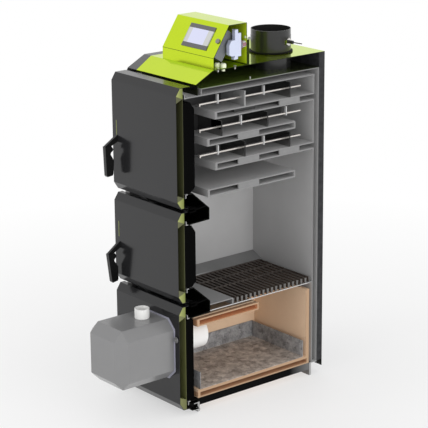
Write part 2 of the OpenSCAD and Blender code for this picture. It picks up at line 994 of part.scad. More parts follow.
// Screwed bush for the flue gas sensor
module flue_sensor_bush() {
    color("#b4b2ae")
        flue_axis()
            difference() {
                translate([0, 0, flue_r - flue_wall / 2])
                    cylinder(h = bush_len, r = bush_r, $fn = 6);
                cylinder(h = flue_r + bush_len + over, r = probe_bore_r);
                flue_body();
            }
}

// The flue seen from the axis of the sensor, cut out of the bush
module flue_body() {
    rotate([0, -90, 0])
        translate([0, 0, -flue_r])
            cylinder(h = 2 * flue_r, r = flue_r + run_gap);
}

// Probe, plastic body and stiff tail of the sensor
module flue_sensor_probe() {
    color("#202022")
        flue_axis() {
            translate([0, 0, flue_r - probe_in])
                cylinder(h = probe_in + bush_len + fit_gap, r = probe_r);
            translate([0, 0, flue_r - flue_wall / 2 + bush_len + fit_gap])
                cylinder(h = sensor_body_len, r = sensor_body_r);
            translate([0, 0, flue_r + bush_len])
                cylinder(h = sensor_body_len + sensor_stem_len, r = sensor_stem_r);
        }
}

// Threaded sockets for flow and return
module water_sockets() {
    color("#3a3b3d")
        for (z = [supply_z, return_z])
            difference() {
                bar_y(socket_x, jacket_y, rear_y + socket_out, z, socket_bore_r + socket_wall);
                bar_y(socket_x, jacket_y - over, rear_y + over, z, socket_bore_r - socket_step);
                bar_y(socket_x, rear_y, rear_y + socket_out + over, z, socket_bore_r);
            }
}

drain_centre_y = rear_y + drain_out - drain_body_back - drain_body_len / 2;

module drain_cock_body() {
    color("#b59a5a")
        difference() {
            union() {
                bar_y(drain_x, jacket_y, rear_y + drain_out, drain_z, drain_r);
                bar_y(drain_x, drain_centre_y - drain_body_len / 2,
                    drain_centre_y + drain_body_len / 2, drain_z, drain_body_r);
                translate([drain_x, drain_centre_y, drain_z])
                    cylinder(h = drain_body_r + drain_stem_h, r = drain_stem_r);
            }
            bar_y(drain_x, jacket_y - over, rear_y + drain_out + over, drain_z, drain_bore_r);
            bar_y(drain_x, rear_y + drain_out - drain_mouth_len, rear_y + drain_out + over,
                drain_z, drain_mouth_r);
        }
}

module drain_cock_lever() {
    lever_z = drain_z + drain_body_r + eye_gap;
    color("#a02020")
        difference() {
            union() {
                translate([drain_x, drain_centre_y, lever_z])
                    cylinder(h = lever_t, r = lever_w / 2);
                slab([drain_x, drain_centre_y - lever_w / 2, lever_z],
                    [drain_x + lever_len, drain_centre_y + lever_w / 2, lever_z + lever_t]);
            }
            translate([drain_x, drain_centre_y, lever_z - over])
                cylinder(h = lever_t + 2 * over, r = drain_stem_r + run_gap);
        }
}

// Frame on the sloping face: X along the box, Y up the slope, Z out of it
module on_slope(x, up) {
    translate([x, box_front_y, cover_z + box_front_h])
        rotate([slope_angle, 0, 0])
            translate([0, up, 0])
                children();
}

// Side outline of the control box, moved in by s
function box_outline(s) = let (
    n_up = [1, 0],
    n_slope = [box_slope_h, -box_slope_d] / slope_len,
    n_top = [0, -1]
) [
    [box_front_y + s, cover_z + s],
    [box_front_y, cover_z + box_front_h] + inset(n_up, n_slope, s),
    [box_front_y + box_slope_d, box_top_z] + inset(n_slope, n_top, s),
    [box_rear_y - s, box_top_z - s],
    [box_rear_y - s, cover_z + s]
];

module control_box() {
    color("#bedb1c")
        difference() {
            union() {
                prism_x(-box_half_w, cut_x, box_outline(0));
                slab([cut_x - duct_w, box_rear_y - sheet_t, cover_z],
                    [cut_x, box_rear_y + duct_d, cover_z + duct_h]);
            }
            prism_x(-box_half_w + sheet_t, cut_x + over, box_outline(sheet_t));
            on_slope(screen_x, screen_low + screen_h / 2)
                translate([0, 0, -sheet_t])
                    cube([2 * (screen_half_w - bezel_rim), screen_h - 2 * bezel_rim,
                        4 * sheet_t], center = true);
            on_slope(button_x, button_up)
                translate([0, 0, -3 * sheet_t])
                    cylinder(h = 6 * sheet_t, r = button_r + run_gap);
            for (x = gland_xs)
                translate([x, gland_y(x), cover_z - over])
                    cylinder(h = sheet_t + 2 * over, r = gland_hole_r);
            for (y = screw_ys)
                translate([screw_x, y, cover_z - over])
                    cylinder(h = sheet_t + 2 * over, r = stud_r + run_gap);
            rear_gland_place()
                translate([0, 0, -over - sheet_t])
                    cylinder(h = 2 * sheet_t + 2 * over, r = rear_gland_r + run_gap);
        }
}

// Bezel in front of the sheet, and the case of the controller behind it
module display_housing() {
    color("#6e6f74")
        on_slope(screen_x, screen_low + screen_h / 2) {
            translate([case_left, case_low - screen_low - screen_h / 2, -housing_in - case_d])
                cube([case_right - case_left, case_h, case_d]);
            difference() {
                union() {
                    translate([-screen_half_w, -screen_h / 2, 0])
                        cube([2 * screen_half_w, screen_h, bezel_t]);
                    translate([-screen_half_w + bezel_rim + fit_gap,
                        -screen_h / 2 + bezel_rim + fit_gap, -housing_in])
                        cube([2 * (screen_half_w - bezel_rim - fit_gap),
                            screen_h - 2 * (bezel_rim + fit_gap), housing_in + over]);
                }
                translate([-screen_half_w + bezel_rim / 2, -screen_h / 2 + glass_bar,
                    bezel_t - glass_t])
                    cube([2 * screen_half_w - bezel_rim, screen_h - 2 * glass_bar,
                        glass_t + over]);
            }
        }
}

module display_screen() {
    color("#dcdcf8")
        on_slope(screen_x, screen_low + screen_h / 2)
            translate([-screen_half_w + bezel_rim / 2 + fit_gap,
                -screen_h / 2 + glass_bar + fit_gap, bezel_t - glass_t])
                cube([2 * screen_half_w - bezel_rim - 2 * fit_gap,
                    screen_h - 2 * glass_bar - 2 * fit_gap, glass_t]);
}

// Stepped power module that clips onto the rail
module_front = 58;
module_shares = [
    [0, 0.18], [0, 0.5], [0.19, 0.65], [0.49, 0.65], [0.49, 1], [0.75, 1],
    [0.75, 0.87], [1, 0.87], [1, 0.09], [0.73, 0.09], [0.73, 0], [0.38, 0],
    [0.47, 0.12], [0.19, 0.12]
];
module_h = 114;
module_low = 27;

module control_module() {
    rear = box_rear_y - sheet_t - rail_stand - rail_d - rail_wall - fit_gap;
    color("#dfe3ea")
        prism_x(module_x, module_x + module_w,
            [for (p = module_shares)
                [rear - module_front + p[0] * module_front, cover_z + module_low + p[1] * module_h]]);
}

// Hat rail on two spacers
module mounting_rail() {
    y1 = box_rear_y - sheet_t - rail_stand;
    y0 = y1 - rail_d;
    color("#c9b9bd") {
        prism_x(-box_half_w + 4 * rail_lip, cut_x - rail_end_gap, [
            [y1, rail_z - rail_h / 2 + rail_lip],
            [y1, rail_z + rail_h / 2 - rail_lip],
            [y0, rail_z + rail_h / 2 - rail_lip],
            [y0, rail_z + rail_h / 2],
            [y0 - rail_wall, rail_z + rail_h / 2],
            [y0 - rail_wall, rail_z + rail_h / 2 - rail_lip - rail_wall],
            [y1 - rail_wall, rail_z + rail_h / 2 - rail_lip - rail_wall],
            [y1 - rail_wall, rail_z - rail_h / 2 + rail_lip + rail_wall],
            [y0 - rail_wall, rail_z - rail_h / 2 + rail_lip + rail_wall],
            [y0 - rail_wall, rail_z - rail_h / 2],
            [y0, rail_z - rail_h / 2],
            [y0, rail_z - rail_h / 2 + rail_lip]
        ]);
        for (x = [-box_half_w / 2, cut_x - rail_end_gap - spacer_r])
            bar_y(x, y1, y1 + rail_stand, rail_z, spacer_r);
    }
}

duct_w = 30;
duct_d = 12;
duct_h = 97;
gland_r = 12;
gland_h = 17;
gland_hole_r = 7;
gland_xs = [108, 130];
gland_back = 46;
function gland_y(x) = box_front_y + gland_back + (x - gland_xs[0]) / 2;
gland_below = 10;
rear_gland_r = 5;
rear_gland_in = 8;
rear_gland_up = 106;
rear_gland_out = 7;
rear_gland_rim = 1.5;
screw_in = 9;
screw_x = cut_x - screw_in;
screw_ys = [-163, -80];
screw_below = 9;
screw_head = 2;
rear_stud_y = -5;

module rear_gland_place() {
    translate([cut_x - rear_gland_in, box_rear_y, cover_z + rear_gland_up])
        rotate([-90, 0, 0])
            children();
}

// Domed glands in the floor of the box, and a small one in its rear wall
module cable_glands() {
    color("#e6e8d2") {
        for (x = gland_xs)
            translate([x, gland_y(x), cover_z + sheet_t]) {
                cylinder(h = gland_h / 2, r = gland_r);
                translate([0, 0, gland_h / 2])
                    intersection() {
                        sphere(r = gland_r);
                        translate([-gland_r, -gland_r, 0])
                            cube([2 * gland_r, 2 * gland_r, gland_h / 2]);
                    }
                translate([0, 0, -2 * sheet_t - gland_below])
                    cylinder(h = 2 * sheet_t + gland_below + over,
                        r = gland_hole_r - run_gap);
            }
        rear_gland_place() {
            translate([0, 0, -sheet_t - over])
                cylinder(h = sheet_t + 2 * over, r = rear_gland_r);
            cylinder(h = rear_gland_out, r = rear_gland_r + rear_gland_rim);
        }
    }
}

module power_button() {
    color("#8c8890")
        on_slope(button_x, button_up) {
            translate([0, 0, -button_in])
                cylinder(h = button_in + button_out, r = button_r);
            translate([0, 0, button_travel + fit_gap])
                cylinder(h = button_out - button_travel, r = button_r + button_rim);
        }
}

// Screws under the box and the stud on the jacket top
module cover_screws() {
    color("#d8dcd4") {
        for (y = screw_ys)
            translate([screw_x, y, cover_z - sheet_t - screw_below]) {
                cylinder(h = screw_below + 2 * sheet_t + over, r = stud_r);
                translate([0, 0, screw_below + 2 * sheet_t])
                    cylinder(h = screw_head, r = 2 * stud_r);
            }
        translate([screw_x, rear_stud_y, jacket_z])
            cylinder(h = screw_below, r = stud_r);
    }
}

module lug_plate(z0, wall_y) {
    translate([0, 0, z0])
        linear_extrude(lug_t)
            polygon([
                [pin_x - eye_arm, wall_y],
                [cut_x - over, wall_y],
                [pin_x + eye_r, pin_y],
                [pin_x - eye_r, pin_y]
            ]);
    translate([pin_x, pin_y, z0])
        cylinder(h = lug_t, r = eye_r);
}

module hinge_pin(z0, z1) {
    translate([pin_x, pin_y, z0])
        cylinder(h = z1 - z0, r = pin_r);
}

// Fixed halves of the hinges: lugs on the frame, each with its pin
module hinge_brackets() {
    half_stack = lug_t / 2 + eye_gap + eye_t;
    color("#3a4410") {
        for (z = [low_gap_z, high_gap_z])
            difference() {
                union() {
                    lug_plate(z - lug_t / 2, frame_y + member_d);
                    hinge_pin(z - half_stack + fit_gap, z + half_stack - fit_gap);
                }
                prism_x(0, pin_x + eye_r + over, [
                    [frame_y + member_d, z + member_slope_end],
                    [frame_y + member_land, z + member_up],
                    [frame_y + member_d, z + member_up]
                ]);
            }
        union() {
            lug_plate(top_lug_z, recess_wall_y);
            hinge_pin(top_lug_z, top_lug_z + lug_t + top_lug_gap + eye_t - fit_gap);
        }
        union() {
            slab([pin_x - eye_arm, rail_front_y - 2 * rail_t, bottom_lug_z],
                [pin_x + eye_r, rail_front_y, bottom_lug_z + lug_t]);
            slab([pin_x - eye_r, pin_y, bottom_lug_z],
                [pin_x + eye_r, rail_front_y, bottom_lug_z + lug_t]);
            translate([pin_x, pin_y, bottom_lug_z])
                cylinder(h = lug_t, r = eye_r);
            hinge_pin(bottom_lug_z, lower_z - fit_gap);
        }
    }
}

top_lug_z = door_top_z - sheet_t - eye_t - top_lug_gap - lug_t;
bottom_lug_z = lower_z - eye_t - eye_gap - lug_t;

// Hinge eye on a door, from z0 to z1
module hinge_eye(z0, z1) {
    difference() {
        union() {
            slab([pin_x - eye_arm, pin_y - eye_reach, z0],
                [pin_x + eye_r, pin_y - eye_r - over, z1]);
            slab([pin_x - eye_r, pin_y - eye_reach, z0], [pin_x + eye_r, pin_y, z1]);
            translate([pin_x, pin_y, z0])
                cylinder(h = z1 - z0, r = eye_r);
        }
        translate([pin_x, pin_y, z0 - over])
            cylinder(h = z1 - z0 + 2 * over, r = pin_r + run_gap);
    }
}

// Front outline of a door from the side, moved in by s, open or closed at the rear
function door_outline(z0, h, s, rear) = let (
    n_low = [0, 1],
    n_high = [0, -1],
    len = norm([bevel_d, bevel_h]),
    n_bevel_low = [bevel_h, bevel_d] / len,
    n_bevel_high = [bevel_h, -bevel_d] / len,
    n_front = [1, 0]
) [
    [rear, z0 + s],
    [front_y + bevel_d, z0] + inset(n_low, n_bevel_low, s),
    [front_y, z0 + bevel_h] + inset(n_bevel_low, n_front, s),
    [front_y, z0 + h - bevel_h] + inset(n_bevel_high, n_front, s),
    [front_y + bevel_d, z0 + h] + inset(n_high, n_bevel_high, s),
    [rear, z0 + h - s]
];

// Folded sheet front of a door with its hinge eyes; deep edges stop short of the frame
module door_shell(z0, h, handle_up, eyes, full_top, full_low) {
    color("#46474a")
        difference() {
            union() {
                difference() {
                    prism_x(door_left, cut_x, door_outline(z0, h, 0, front_y + door_edge_d));
                    prism_x(door_left + sheet_t, cut_x + over,
                        door_outline(z0, h, sheet_t, front_y + door_edge_d + over));
                    slab([door_left - over, front_y + side_edge_d, z0 + sheet_t],
                        [door_left + 2 * sheet_t, front_y + door_edge_d + over, z0 + h - sheet_t]);
                    if (!full_top)
                        edge_notch(z0 + h - sheet_t);
                    if (!full_low)
                        edge_notch(z0);
                }
                for (eye = eyes)
                    hinge_eye(eye[0], eye[1]);
            }
            bar_y(handle_x, front_y - over, front_y + sheet_t + over, z0 + handle_up,
                shaft_r + run_gap);
        }
}

module edge_notch(z) {
    slab([door_left - over, front_y + side_edge_d, z - over],
        [furnace_x + notch_gap, front_y + door_edge_d + over, z + sheet_t + over]);
}

// Inner plate of a door with the bevelled edge strips, one folded piece
module door_frame(z0, h, handle_up) {
    s = sheet_t + fit_gap;
    low = door_outline(z0, h, s, inner_y);
    color("#4a4e20")
        difference() {
            prism_x(door_left + s, cut_x, [
                low[0],
                low[1],
                low[2],
                [front_y + s, z0 + edge_strip_front],
                [inner_y - inner_plate_t, z0 + edge_strip_rear],
                [inner_y - inner_plate_t, z0 + h - edge_strip_rear],
                [front_y + s, z0 + h - edge_strip_front],
                low[3],
                low[4],
                low[5]
            ]);
            bar_y(handle_x, front_y - over, inner_y + over, z0 + handle_up, shaft_r + run_gap);
        }
}

// Bevelled insulation block
module lining_block(z0, z1, t, bevel_top, bevel_low, bevel_in) {
    prism_x(furnace_x + lining_side_gap, cut_x, [
        [inner_y, z0],
        [inner_y + t - bevel_in, z0],
        [inner_y + t, z0 + bevel_low],
        [inner_y + t, z1 - bevel_top],
        [inner_y + t - bevel_in, z1],
        [inner_y, z1]
    ]);
}

// Grip and arm of a handle from the side: distance from the door, then way down from
// the shaft
grip_shares = [
    [1, 0.129], [0.93, 0.957], [0.87, 1], [0.48, 0.986], [0.42, 0.943], [0.341, 0.571],
    [0.455, 0.479], [0.593, 0.371], [0.561, 0.321], [0.415, 0.275], [0.39, 0.221],
    [0.504, 0.15]
];
arm_shares = [[0, -0.143], [1, 0.129], [0.93, 0.3], [0.65, 0.3], [0.504, 0.15], [0, 0.05]];

function handle_outline(shares, z, lean) = [
    for (p = shares) [
        front_y - fit_gap - (p[0] == 0 ? 0 : p[0] * handle_out - p[1] * lean),
        z - p[1] * handle_len - p[0] * lean * lean_rise_share
    ]
];

// Grip, shaft through the door and the cam of the latch
module door_handle(z, lean) {
    grip_x = handle_x - handle_w / 2;
    color("#141416") {
        prism_x(grip_x, grip_x + handle_w, handle_outline(grip_shares, z, lean));
        prism_x(grip_x + arm_in, grip_x + handle_w - arm_in,
            handle_outline(arm_shares, z, lean));
        bar_y(handle_x, front_y - 2 * over, cam_y + cam_t - fit_gap, z, shaft_r);
        slab([handle_x - shaft_r - cam_len, cam_y, z - cam_w / 2],
            [handle_x + cam_back - shaft_r + fit_gap, cam_y + cam_t - fit_gap, z + cam_w / 2]);
    }
}

module upper_door_shell() {
    door_shell(upper_z, upper_door_h, upper_handle_up, [
        [upper_z - eye_t, upper_z + sheet_t],
        [door_top_z - sheet_t - eye_t, door_top_z]
    ], true, false);
}

module upper_door_frame() {
    door_frame(upper_z, upper_door_h, upper_handle_up);
}

module upper_door_lining() {
    color("#0c0c0d")
        lining_block(upper_open_lo + lining_gap, upper_open_hi - lining_top_drop, lining_t,
            lining_bevel_top, lining_bevel_low, lining_bevel_d);
}

module upper_door_handle() {
    door_handle(upper_z + upper_handle_up, 0);
}

module middle_door_shell() {
    door_shell(middle_z, middle_door_h, middle_handle_up, [
        [middle_z - eye_t, middle_z + sheet_t],
        [middle_z + middle_door_h - sheet_t, middle_z + middle_door_h + eye_t]
    ], false, false);
}

module middle_door_frame() {
    door_frame(middle_z, middle_door_h, middle_handle_up);
}

module middle_door_lining() {
    color("#0c0c0d")
        lining_block(middle_open_lo + lining_gap, middle_open_hi - lining_gap, lining_t,
            lining_bevel_top, lining_bevel_low, lining_bevel_d);
}

module middle_door_handle() {
    door_handle(middle_z + middle_handle_up, handle_lean);
}

// Hole for the flame tube through the layers of the lower door
module flame_hole(y0, y1) {
    bar_y(0, y0 - over, y1 + over, flame_z, flame_r + hole_clear);
}

module lower_door_shell() {
    difference() {
        door_shell(lower_z, lower_door_h, lower_handle_up, [
            [lower_z - eye_t, lower_z + sheet_t],
            [lower_z + lower_door_h - sheet_t, lower_z + lower_door_h + eye_t]
        ], false, true);
        flame_hole(front_y, front_y + sheet_t);
    }
}

module lower_door_frame() {
    difference() {
        door_frame(lower_z, lower_door_h, lower_handle_up);
        flame_hole(front_y, inner_y);
    }
}

module lower_door_lining() {
    color("#0c0c0d")
        difference() {
            lining_block(lower_open_lo + lining_gap, lower_open_hi - lining_gap,
                lower_lining_t, lining_gap, lining_gap, lining_gap);
            flame_hole(inner_y, inner_y + lower_lining_t);
        }
}

module lower_door_handle() {
    door_handle(lower_z + lower_handle_up, 0);
}

// Square with bevelled corners, centred
module bevelled(a, b, bevel) {
    polygon([
        [-a, -b + bevel], [-a + bevel, -b], [a - bevel, -b], [a, -b + bevel],
        [a, b - bevel], [a - bevel, b], [-a + bevel, b], [-a, b - bevel]
    ]);
}

// Studs beside the flange, each with a clamping washer and a nut
module burner_nuts() {
    color("#a8a6a2")
        for (side = [-1, 1])
            translate([side * (burner_w / 2 + burner_flange_rim + washer_r - washer_lap),
                front_y, burner_z + nut_up])
                rotate([90, 0, 0]) {
                    cylinder(h = stud_len, r = stud_r);
                    translate([0, 0, burner_flange_t])
                        cylinder(h = washer_t, r = washer_r);
                    translate([0, 0, burner_flange_t + washer_t])
                        cylinder(h = nut_h, r = nut_r, $fn = 6);
                }
}

module burner_flange() {
    color("#a2a2b4")
        difference() {
            translate([0, front_y, burner_z])
                rotate([90, 0, 0])
                    linear_extrude(burner_flange_t)
                        bevelled(burner_w / 2 + burner_flange_rim,
                                burner_h / 2 + burner_flange_rim, burner_bevel);
            bar_y(0, front_y - burner_flange_t - over, front_y + over, flame_z,
                flame_r + run_gap);
        }
}

// Everything on the inner side of a plane across one front corner, c from the centre
module corner_side(side, up, c) {
    big = burner_w + burner_h + burner_d;
    rotate([0, -up * corner_tilt, side > 0 ? -45 : -135])
        translate([c - big, -big, -big])
            cube([big, 2 * big, 2 * big]);
}

corner_tilt = atan(sqrt(1 / 2));

// Box with bevelled edges and corners at the front, open at the flange
module burner_body(s) {
    w = burner_w / 2 - s;
    h = burner_h / 2 - s;
    d = burner_d - burner_flange_t - s;
    intersection() {
        rotate([90, 0, 0])
            linear_extrude(2 * d, center = true)
                bevelled(w, h, burner_bevel);
        translate([0, 0, -h])
            linear_extrude(2 * h)
                bevelled(w, d, burner_bevel);
        translate([-w, 0, 0])
            rotate([90, 0, 90])
                linear_extrude(2 * w)
                    bevelled(d, h, burner_bevel);
        corner_side(1, 1, (w + h + d - 2 * burner_bevel) / sqrt(3));
        corner_side(-1, 1, (w + h + d - 2 * burner_bevel) / sqrt(3));
        corner_side(1, -1, (w + h + d - 2 * burner_bevel) / sqrt(3));
        corner_side(-1, -1, (w + h + d - 2 * burner_bevel) / sqrt(3));
    }
}

module burner_cover() {
    color("#8c8c8c")
        translate([0, front_y - burner_flange_t, burner_z])
            difference() {
                burner_body(0);
                burner_body(burner_wall);
                slab([-burner_w, 0, -burner_h], [burner_w, burner_d, burner_h]);
                translate([0, inlet_y - front_y + burner_flange_t, 0])
                    cylinder(h = burner_h, r = inlet_r - inlet_step + run_gap);
            }
}

auger_rear_gap = 12;
auger_rear_y = front_y - auger_rear_gap;
auger_front_y = auger_rear_y - auger_pitch * auger_turns;
auger_z = flame_z;

// Steel tube that lies in the door and reaches into the chamber
module flame_tube() {
    color("#f0eeea")
        difference() {
            bar_y(0, front_y - burner_flange_t, front_y + flame_reach, flame_z, flame_r);
            bar_y(0, front_y - burner_flange_t - over, front_y + flame_reach + over, flame_z,
                flame_r - flame_wall);
        }
}

// Inlet for the pellet hose, standing on the auger tube
module pellet_inlet() {
    cover_top = burner_z + burner_h / 2;
    color("#e4e4e4")
        difference() {
            union() {
                translate([0, inlet_y, auger_z])
                    cylinder(h = cover_top + inlet_h - auger_z, r = inlet_r - inlet_step);
                translate([0, inlet_y, cover_top + inlet_step_up])
                    cylinder(h = inlet_h - inlet_step_up, r = inlet_r);
                bar_y(0, auger_front_y - fit_gap, front_y - burner_flange_t, auger_z,
                    auger_tube_r + auger_tube_wall);
            }
            translate([0, inlet_y, auger_z])
                cylinder(h = burner_h, r = inlet_r - inlet_wall);
            bar_y(0, auger_front_y - over, front_y, auger_z, auger_tube_r);
        }
}

// Feed screw: a shaft with one helical blade
module feed_auger() {
    color("#9a9a9c") {
        bar_y(0, auger_front_y - gear_shaft, auger_rear_y + over, auger_z, auger_shaft_r);
        translate([0, auger_rear_y, auger_z])
            rotate([90, 0, 0])
                linear_extrude(auger_pitch * (auger_turns - 1 / 2),
                    twist = -360 * (auger_turns - 1 / 2),
                    slices = auger_slices * auger_turns, $fn = 8)
                    translate([0, -auger_blade / 2])
                        square([auger_r, auger_blade]);
    }
}

gear_shaft = 14;

// Impeller of the combustion air fan
module burner_fan_wheel() {
    color("#707276")
        translate([fan_x, fan_y, fan_z])
            rotate([90, 0, 0])
                difference() {
                    union() {
                        cylinder(h = fan_disc_t, r = fan_r);
                        cylinder(h = fan_w, r = fan_hub_r);
                        for (k = [0:fan_blades - 1])
                            rotate([0, 0, k * 360 / fan_blades])
                                translate([fan_hub_r + fan_disc_t, -fan_disc_t / 2, 0])
                                    cube([fan_r - fan_hub_r - 2 * fan_disc_t, fan_disc_t, fan_w]);
                    }
                    translate([0, 0, -over])
                        cylinder(h = fan_w - fan_disc_t, r = fan_shaft_r + run_gap);
                }
}

// Gear motor of the auger, motor of the fan, and the igniter
module burner_drives() {
    color("#5a5c60") {
        difference() {
            bar_y(0, auger_front_y - gear_len, auger_front_y - fit_gap, auger_z,
                auger_tube_r + auger_tube_wall);
            bar_y(0, auger_front_y - gear_shaft - fit_gap, auger_front_y, auger_z,
                auger_shaft_r + run_gap);
        }
        union() {
            bar_y(fan_x, fan_y + eye_gap, front_y - burner_flange_t, fan_z, motor_r);
            bar_y(fan_x, fan_y - fan_w + 2 * fan_disc_t, fan_y + 2 * eye_gap, fan_z, fan_shaft_r);
        }
        bar_y(auger_tube_r + motor_r, front_y - burner_flange_t - motor_len,
            front_y - burner_flange_t, flame_z - auger_tube_r - motor_r / 2, fan_hub_r / 2);
    }
}

base_rails();
side_panel();
casing_insulation();
rear_panel();
top_cover();
hood_slope_panel();
hood_side_trim();
jacket_outer_shell();
jacket_inner_shell();
water_shelves();
shelf_stays();
cross_members();
top_front_member();
door_seat_strips();
rope_seals();
furnace_slope_plate();
furnace_front_deck();
grate_castings();
chamber_liner();
deflector_carrier();
flame_deflector();
ash_pan();
turbulator_rods();
turbulator_baffles();
flue_outlet();
flue_gasket();
flue_sensor_bush();
flue_sensor_probe();
water_sockets();
drain_cock_body();
drain_cock_lever();
control_box();
display_housing();
display_screen();
control_module();
mounting_rail();
cable_glands();
power_button();
cover_screws();
hinge_brackets();
upper_door_shell();
upper_door_frame();
upper_door_lining();
upper_door_handle();
middle_door_shell();
middle_door_frame();
middle_door_lining();
middle_door_handle();
lower_door_shell();
lower_door_frame();
lower_door_lining();
lower_door_handle();
burner_flange();
burner_nuts();
burner_cover();
flame_tube();
pellet_inlet();
feed_auger();
burner_fan_wheel();
burner_drives();
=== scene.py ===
import json
from math import cos, radians, sin

import bmesh
import bpy
from mathutils import Matrix, Vector

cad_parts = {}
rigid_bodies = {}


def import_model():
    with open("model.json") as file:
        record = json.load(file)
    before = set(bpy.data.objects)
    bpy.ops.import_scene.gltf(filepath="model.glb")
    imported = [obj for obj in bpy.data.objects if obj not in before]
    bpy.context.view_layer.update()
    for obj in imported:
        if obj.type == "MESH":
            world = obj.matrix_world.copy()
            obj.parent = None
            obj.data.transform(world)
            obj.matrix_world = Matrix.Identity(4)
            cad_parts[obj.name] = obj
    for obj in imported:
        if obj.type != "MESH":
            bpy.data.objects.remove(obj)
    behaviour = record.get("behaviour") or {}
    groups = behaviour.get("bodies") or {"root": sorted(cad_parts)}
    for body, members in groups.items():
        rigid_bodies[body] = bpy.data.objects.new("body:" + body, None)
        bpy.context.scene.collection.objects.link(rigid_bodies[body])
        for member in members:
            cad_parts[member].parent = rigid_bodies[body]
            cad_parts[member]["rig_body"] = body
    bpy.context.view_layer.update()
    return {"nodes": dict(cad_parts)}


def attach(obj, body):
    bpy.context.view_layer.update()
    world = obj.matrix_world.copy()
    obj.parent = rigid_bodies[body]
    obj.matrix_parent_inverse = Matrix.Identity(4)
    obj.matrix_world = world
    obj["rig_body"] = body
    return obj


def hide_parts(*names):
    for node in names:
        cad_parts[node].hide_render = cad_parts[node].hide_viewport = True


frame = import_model()

# Base rails
# Two steel angles on the floor, front and rear, that carry the welded body, and the sill
# plate of the lower opening. Black rolled steel, bare where sawn, greyed towards the rear by painted
# light.


class Wire:
    """A value, colour or vector on its way through the nodes of a finish."""

    def __init__(self, tree, socket):
        self.tree, self.socket = tree, socket

    def node(self, kind, settings=None, sockets=None, out=0):
        """Any node: its settings first, then the values or wires of its sockets."""
        made = self.tree.nodes.new(kind)
        for name, value in (settings or {}).items():
            setattr(made, name, value)
        for name, value in (sockets or {}).items():
            if isinstance(value, Wire):
                self.tree.links.new(value.socket, made.inputs[name])
            else:
                made.inputs[name].default_value = value
        return Wire(self.tree, made.outputs[out])

    def maths(self, operation, *others):
        values = dict(enumerate((self, *others)))
        return self.node("ShaderNodeMath", {"operation": operation}, values)

    def __add__(self, other):
        return self.maths("ADD", other)

    def __sub__(self, other):
        return self.maths("SUBTRACT", other)

    def __rsub__(self, other):
        return self.node("ShaderNodeMath", {"operation": "SUBTRACT"}, {0: other, 1: self})

    def __mul__(self, other):
        return self.maths("MULTIPLY", other)

    def __truediv__(self, other):
        return self.maths("DIVIDE", other)

    def __gt__(self, other):
        return self.maths("GREATER_THAN", other)

    def __lt__(self, other):
        return self.maths("LESS_THAN", other)

    def __abs__(self):
        return self.maths("ABSOLUTE")

    __radd__ = __add__
    __rmul__ = __mul__

    def within(self, low, high):
        """1 where this value lies between low and high, else 0."""
        return (self > low) * (self < high)

    def between(self, low, high):
        """This value, read as 0 at low and 1 at high."""
        return self.node("ShaderNodeMapRange", {}, {
            "Value": self, "From Min": low, "From Max": high})

    def blend(self, first, second):
        """Colour that goes from first to second as this value goes from 0 to 1."""
        colours = {0: self, 6: first, 7: second}
        return self.node("ShaderNodeMix", {"data_type": "RGBA"}, colours, out=2)

    def stretched(self, x, y, z):
        return self.node("ShaderNodeVectorMath", {"operation": "MULTIPLY"}, {0: self, 1: (x, y, z)})

    def shifted(self, other):
        return self.node("ShaderNodeVectorMath", {"operation": "ADD"}, {0: self, 1: other})

    def axis(self, name):
        return self.node("ShaderNodeSeparateXYZ", {}, {0: self}, out=name)

    def facing(self, name):
        """How far the surface looks along an axis of the piece, from -1 to 1."""
        return self.node("ShaderNodeTexCoord", out="Normal").axis(name)

    def noise(self, scale, detail=3.0, rough=0.55):
        return self.node("ShaderNodeTexNoise", {}, {
            "Vector": self, "Scale": scale, "Detail": detail, "Roughness": rough})

    def bump(self, strength, depth):
        return self.node("ShaderNodeBump", {}, {
            "Height": self, "Strength": strength, "Distance": depth})

    def surface(self, colour, rough, normal, metal=0.0, gloss=0.5):
        """Shader of a finish; gloss is how strongly a surface that is no metal mirrors."""
        return self.node("ShaderNodeBsdfPrincipled", {}, {
            "Base Color": colour, "Roughness": rough, "Normal": normal,
            "Metallic": metal, "Specular IOR Level": gloss})


def finish(name, shade):
    """A material; shade gets the point on the piece and returns its shader."""
    material = bpy.data.materials.new(name)
    material.use_nodes = True
    tree = material.node_tree
    tree.nodes.clear()
    result = tree.nodes.new("ShaderNodeOutputMaterial")
    here = Wire(tree, tree.nodes.new("ShaderNodeTexCoord").outputs["Object"])
    tree.links.new(shade(here).socket, result.inputs["Surface"])
    return material


def rgb(level, green=None, blue=None):
    """A colour, or a grey where only its level is given."""
    return (level, level if green is None else green, level if blue is None else blue, 1.0)


merge_gap = 2e-6
flat_angle, fold_angle, curve_angle = radians(0.5), radians(24), radians(28)


def added(name, data):
    """A new object of the scene, made of a mesh, a lamp or a lens."""
    made = bpy.data.objects.new(name, data)
    bpy.context.scene.collection.objects.link(made)
    return made


def softened(node, ease, steps):
    """Copy of a CAD part with its edges broken, as a grinder or a press brake leaves them."""
    work = bmesh.new()
    work.from_mesh(frame["nodes"][node].data)
    bmesh.ops.remove_doubles(work, verts=work.verts, dist=merge_gap)
    bmesh.ops.dissolve_limit(work, angle_limit=flat_angle, verts=work.verts, edges=work.edges)
    work.normal_update()
    for edge in work.edges:
        edge.smooth = len(edge.link_faces) == 2 and edge.calc_face_angle() < curve_angle
    for face in work.faces:
        face.smooth = True
    mesh = bpy.data.meshes.new(node + "_edges")
    work.to_mesh(mesh)
    work.free()
    piece = added(node + "_piece", mesh)
    if ease:
        broken = piece.modifiers.new("broken_edges", "BEVEL")
        broken.width, broken.segments = ease, steps
        broken.limit_method, broken.angle_limit = "ANGLE", fold_angle
        broken.harden_normals = True
        broken.use_clamp_overlap = True
    return piece


def fit_out(piece, body, material):
    """Give a piece its finish and its body."""
    piece.data.materials.clear()
    piece.data.materials.append(material)
    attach(piece, body)


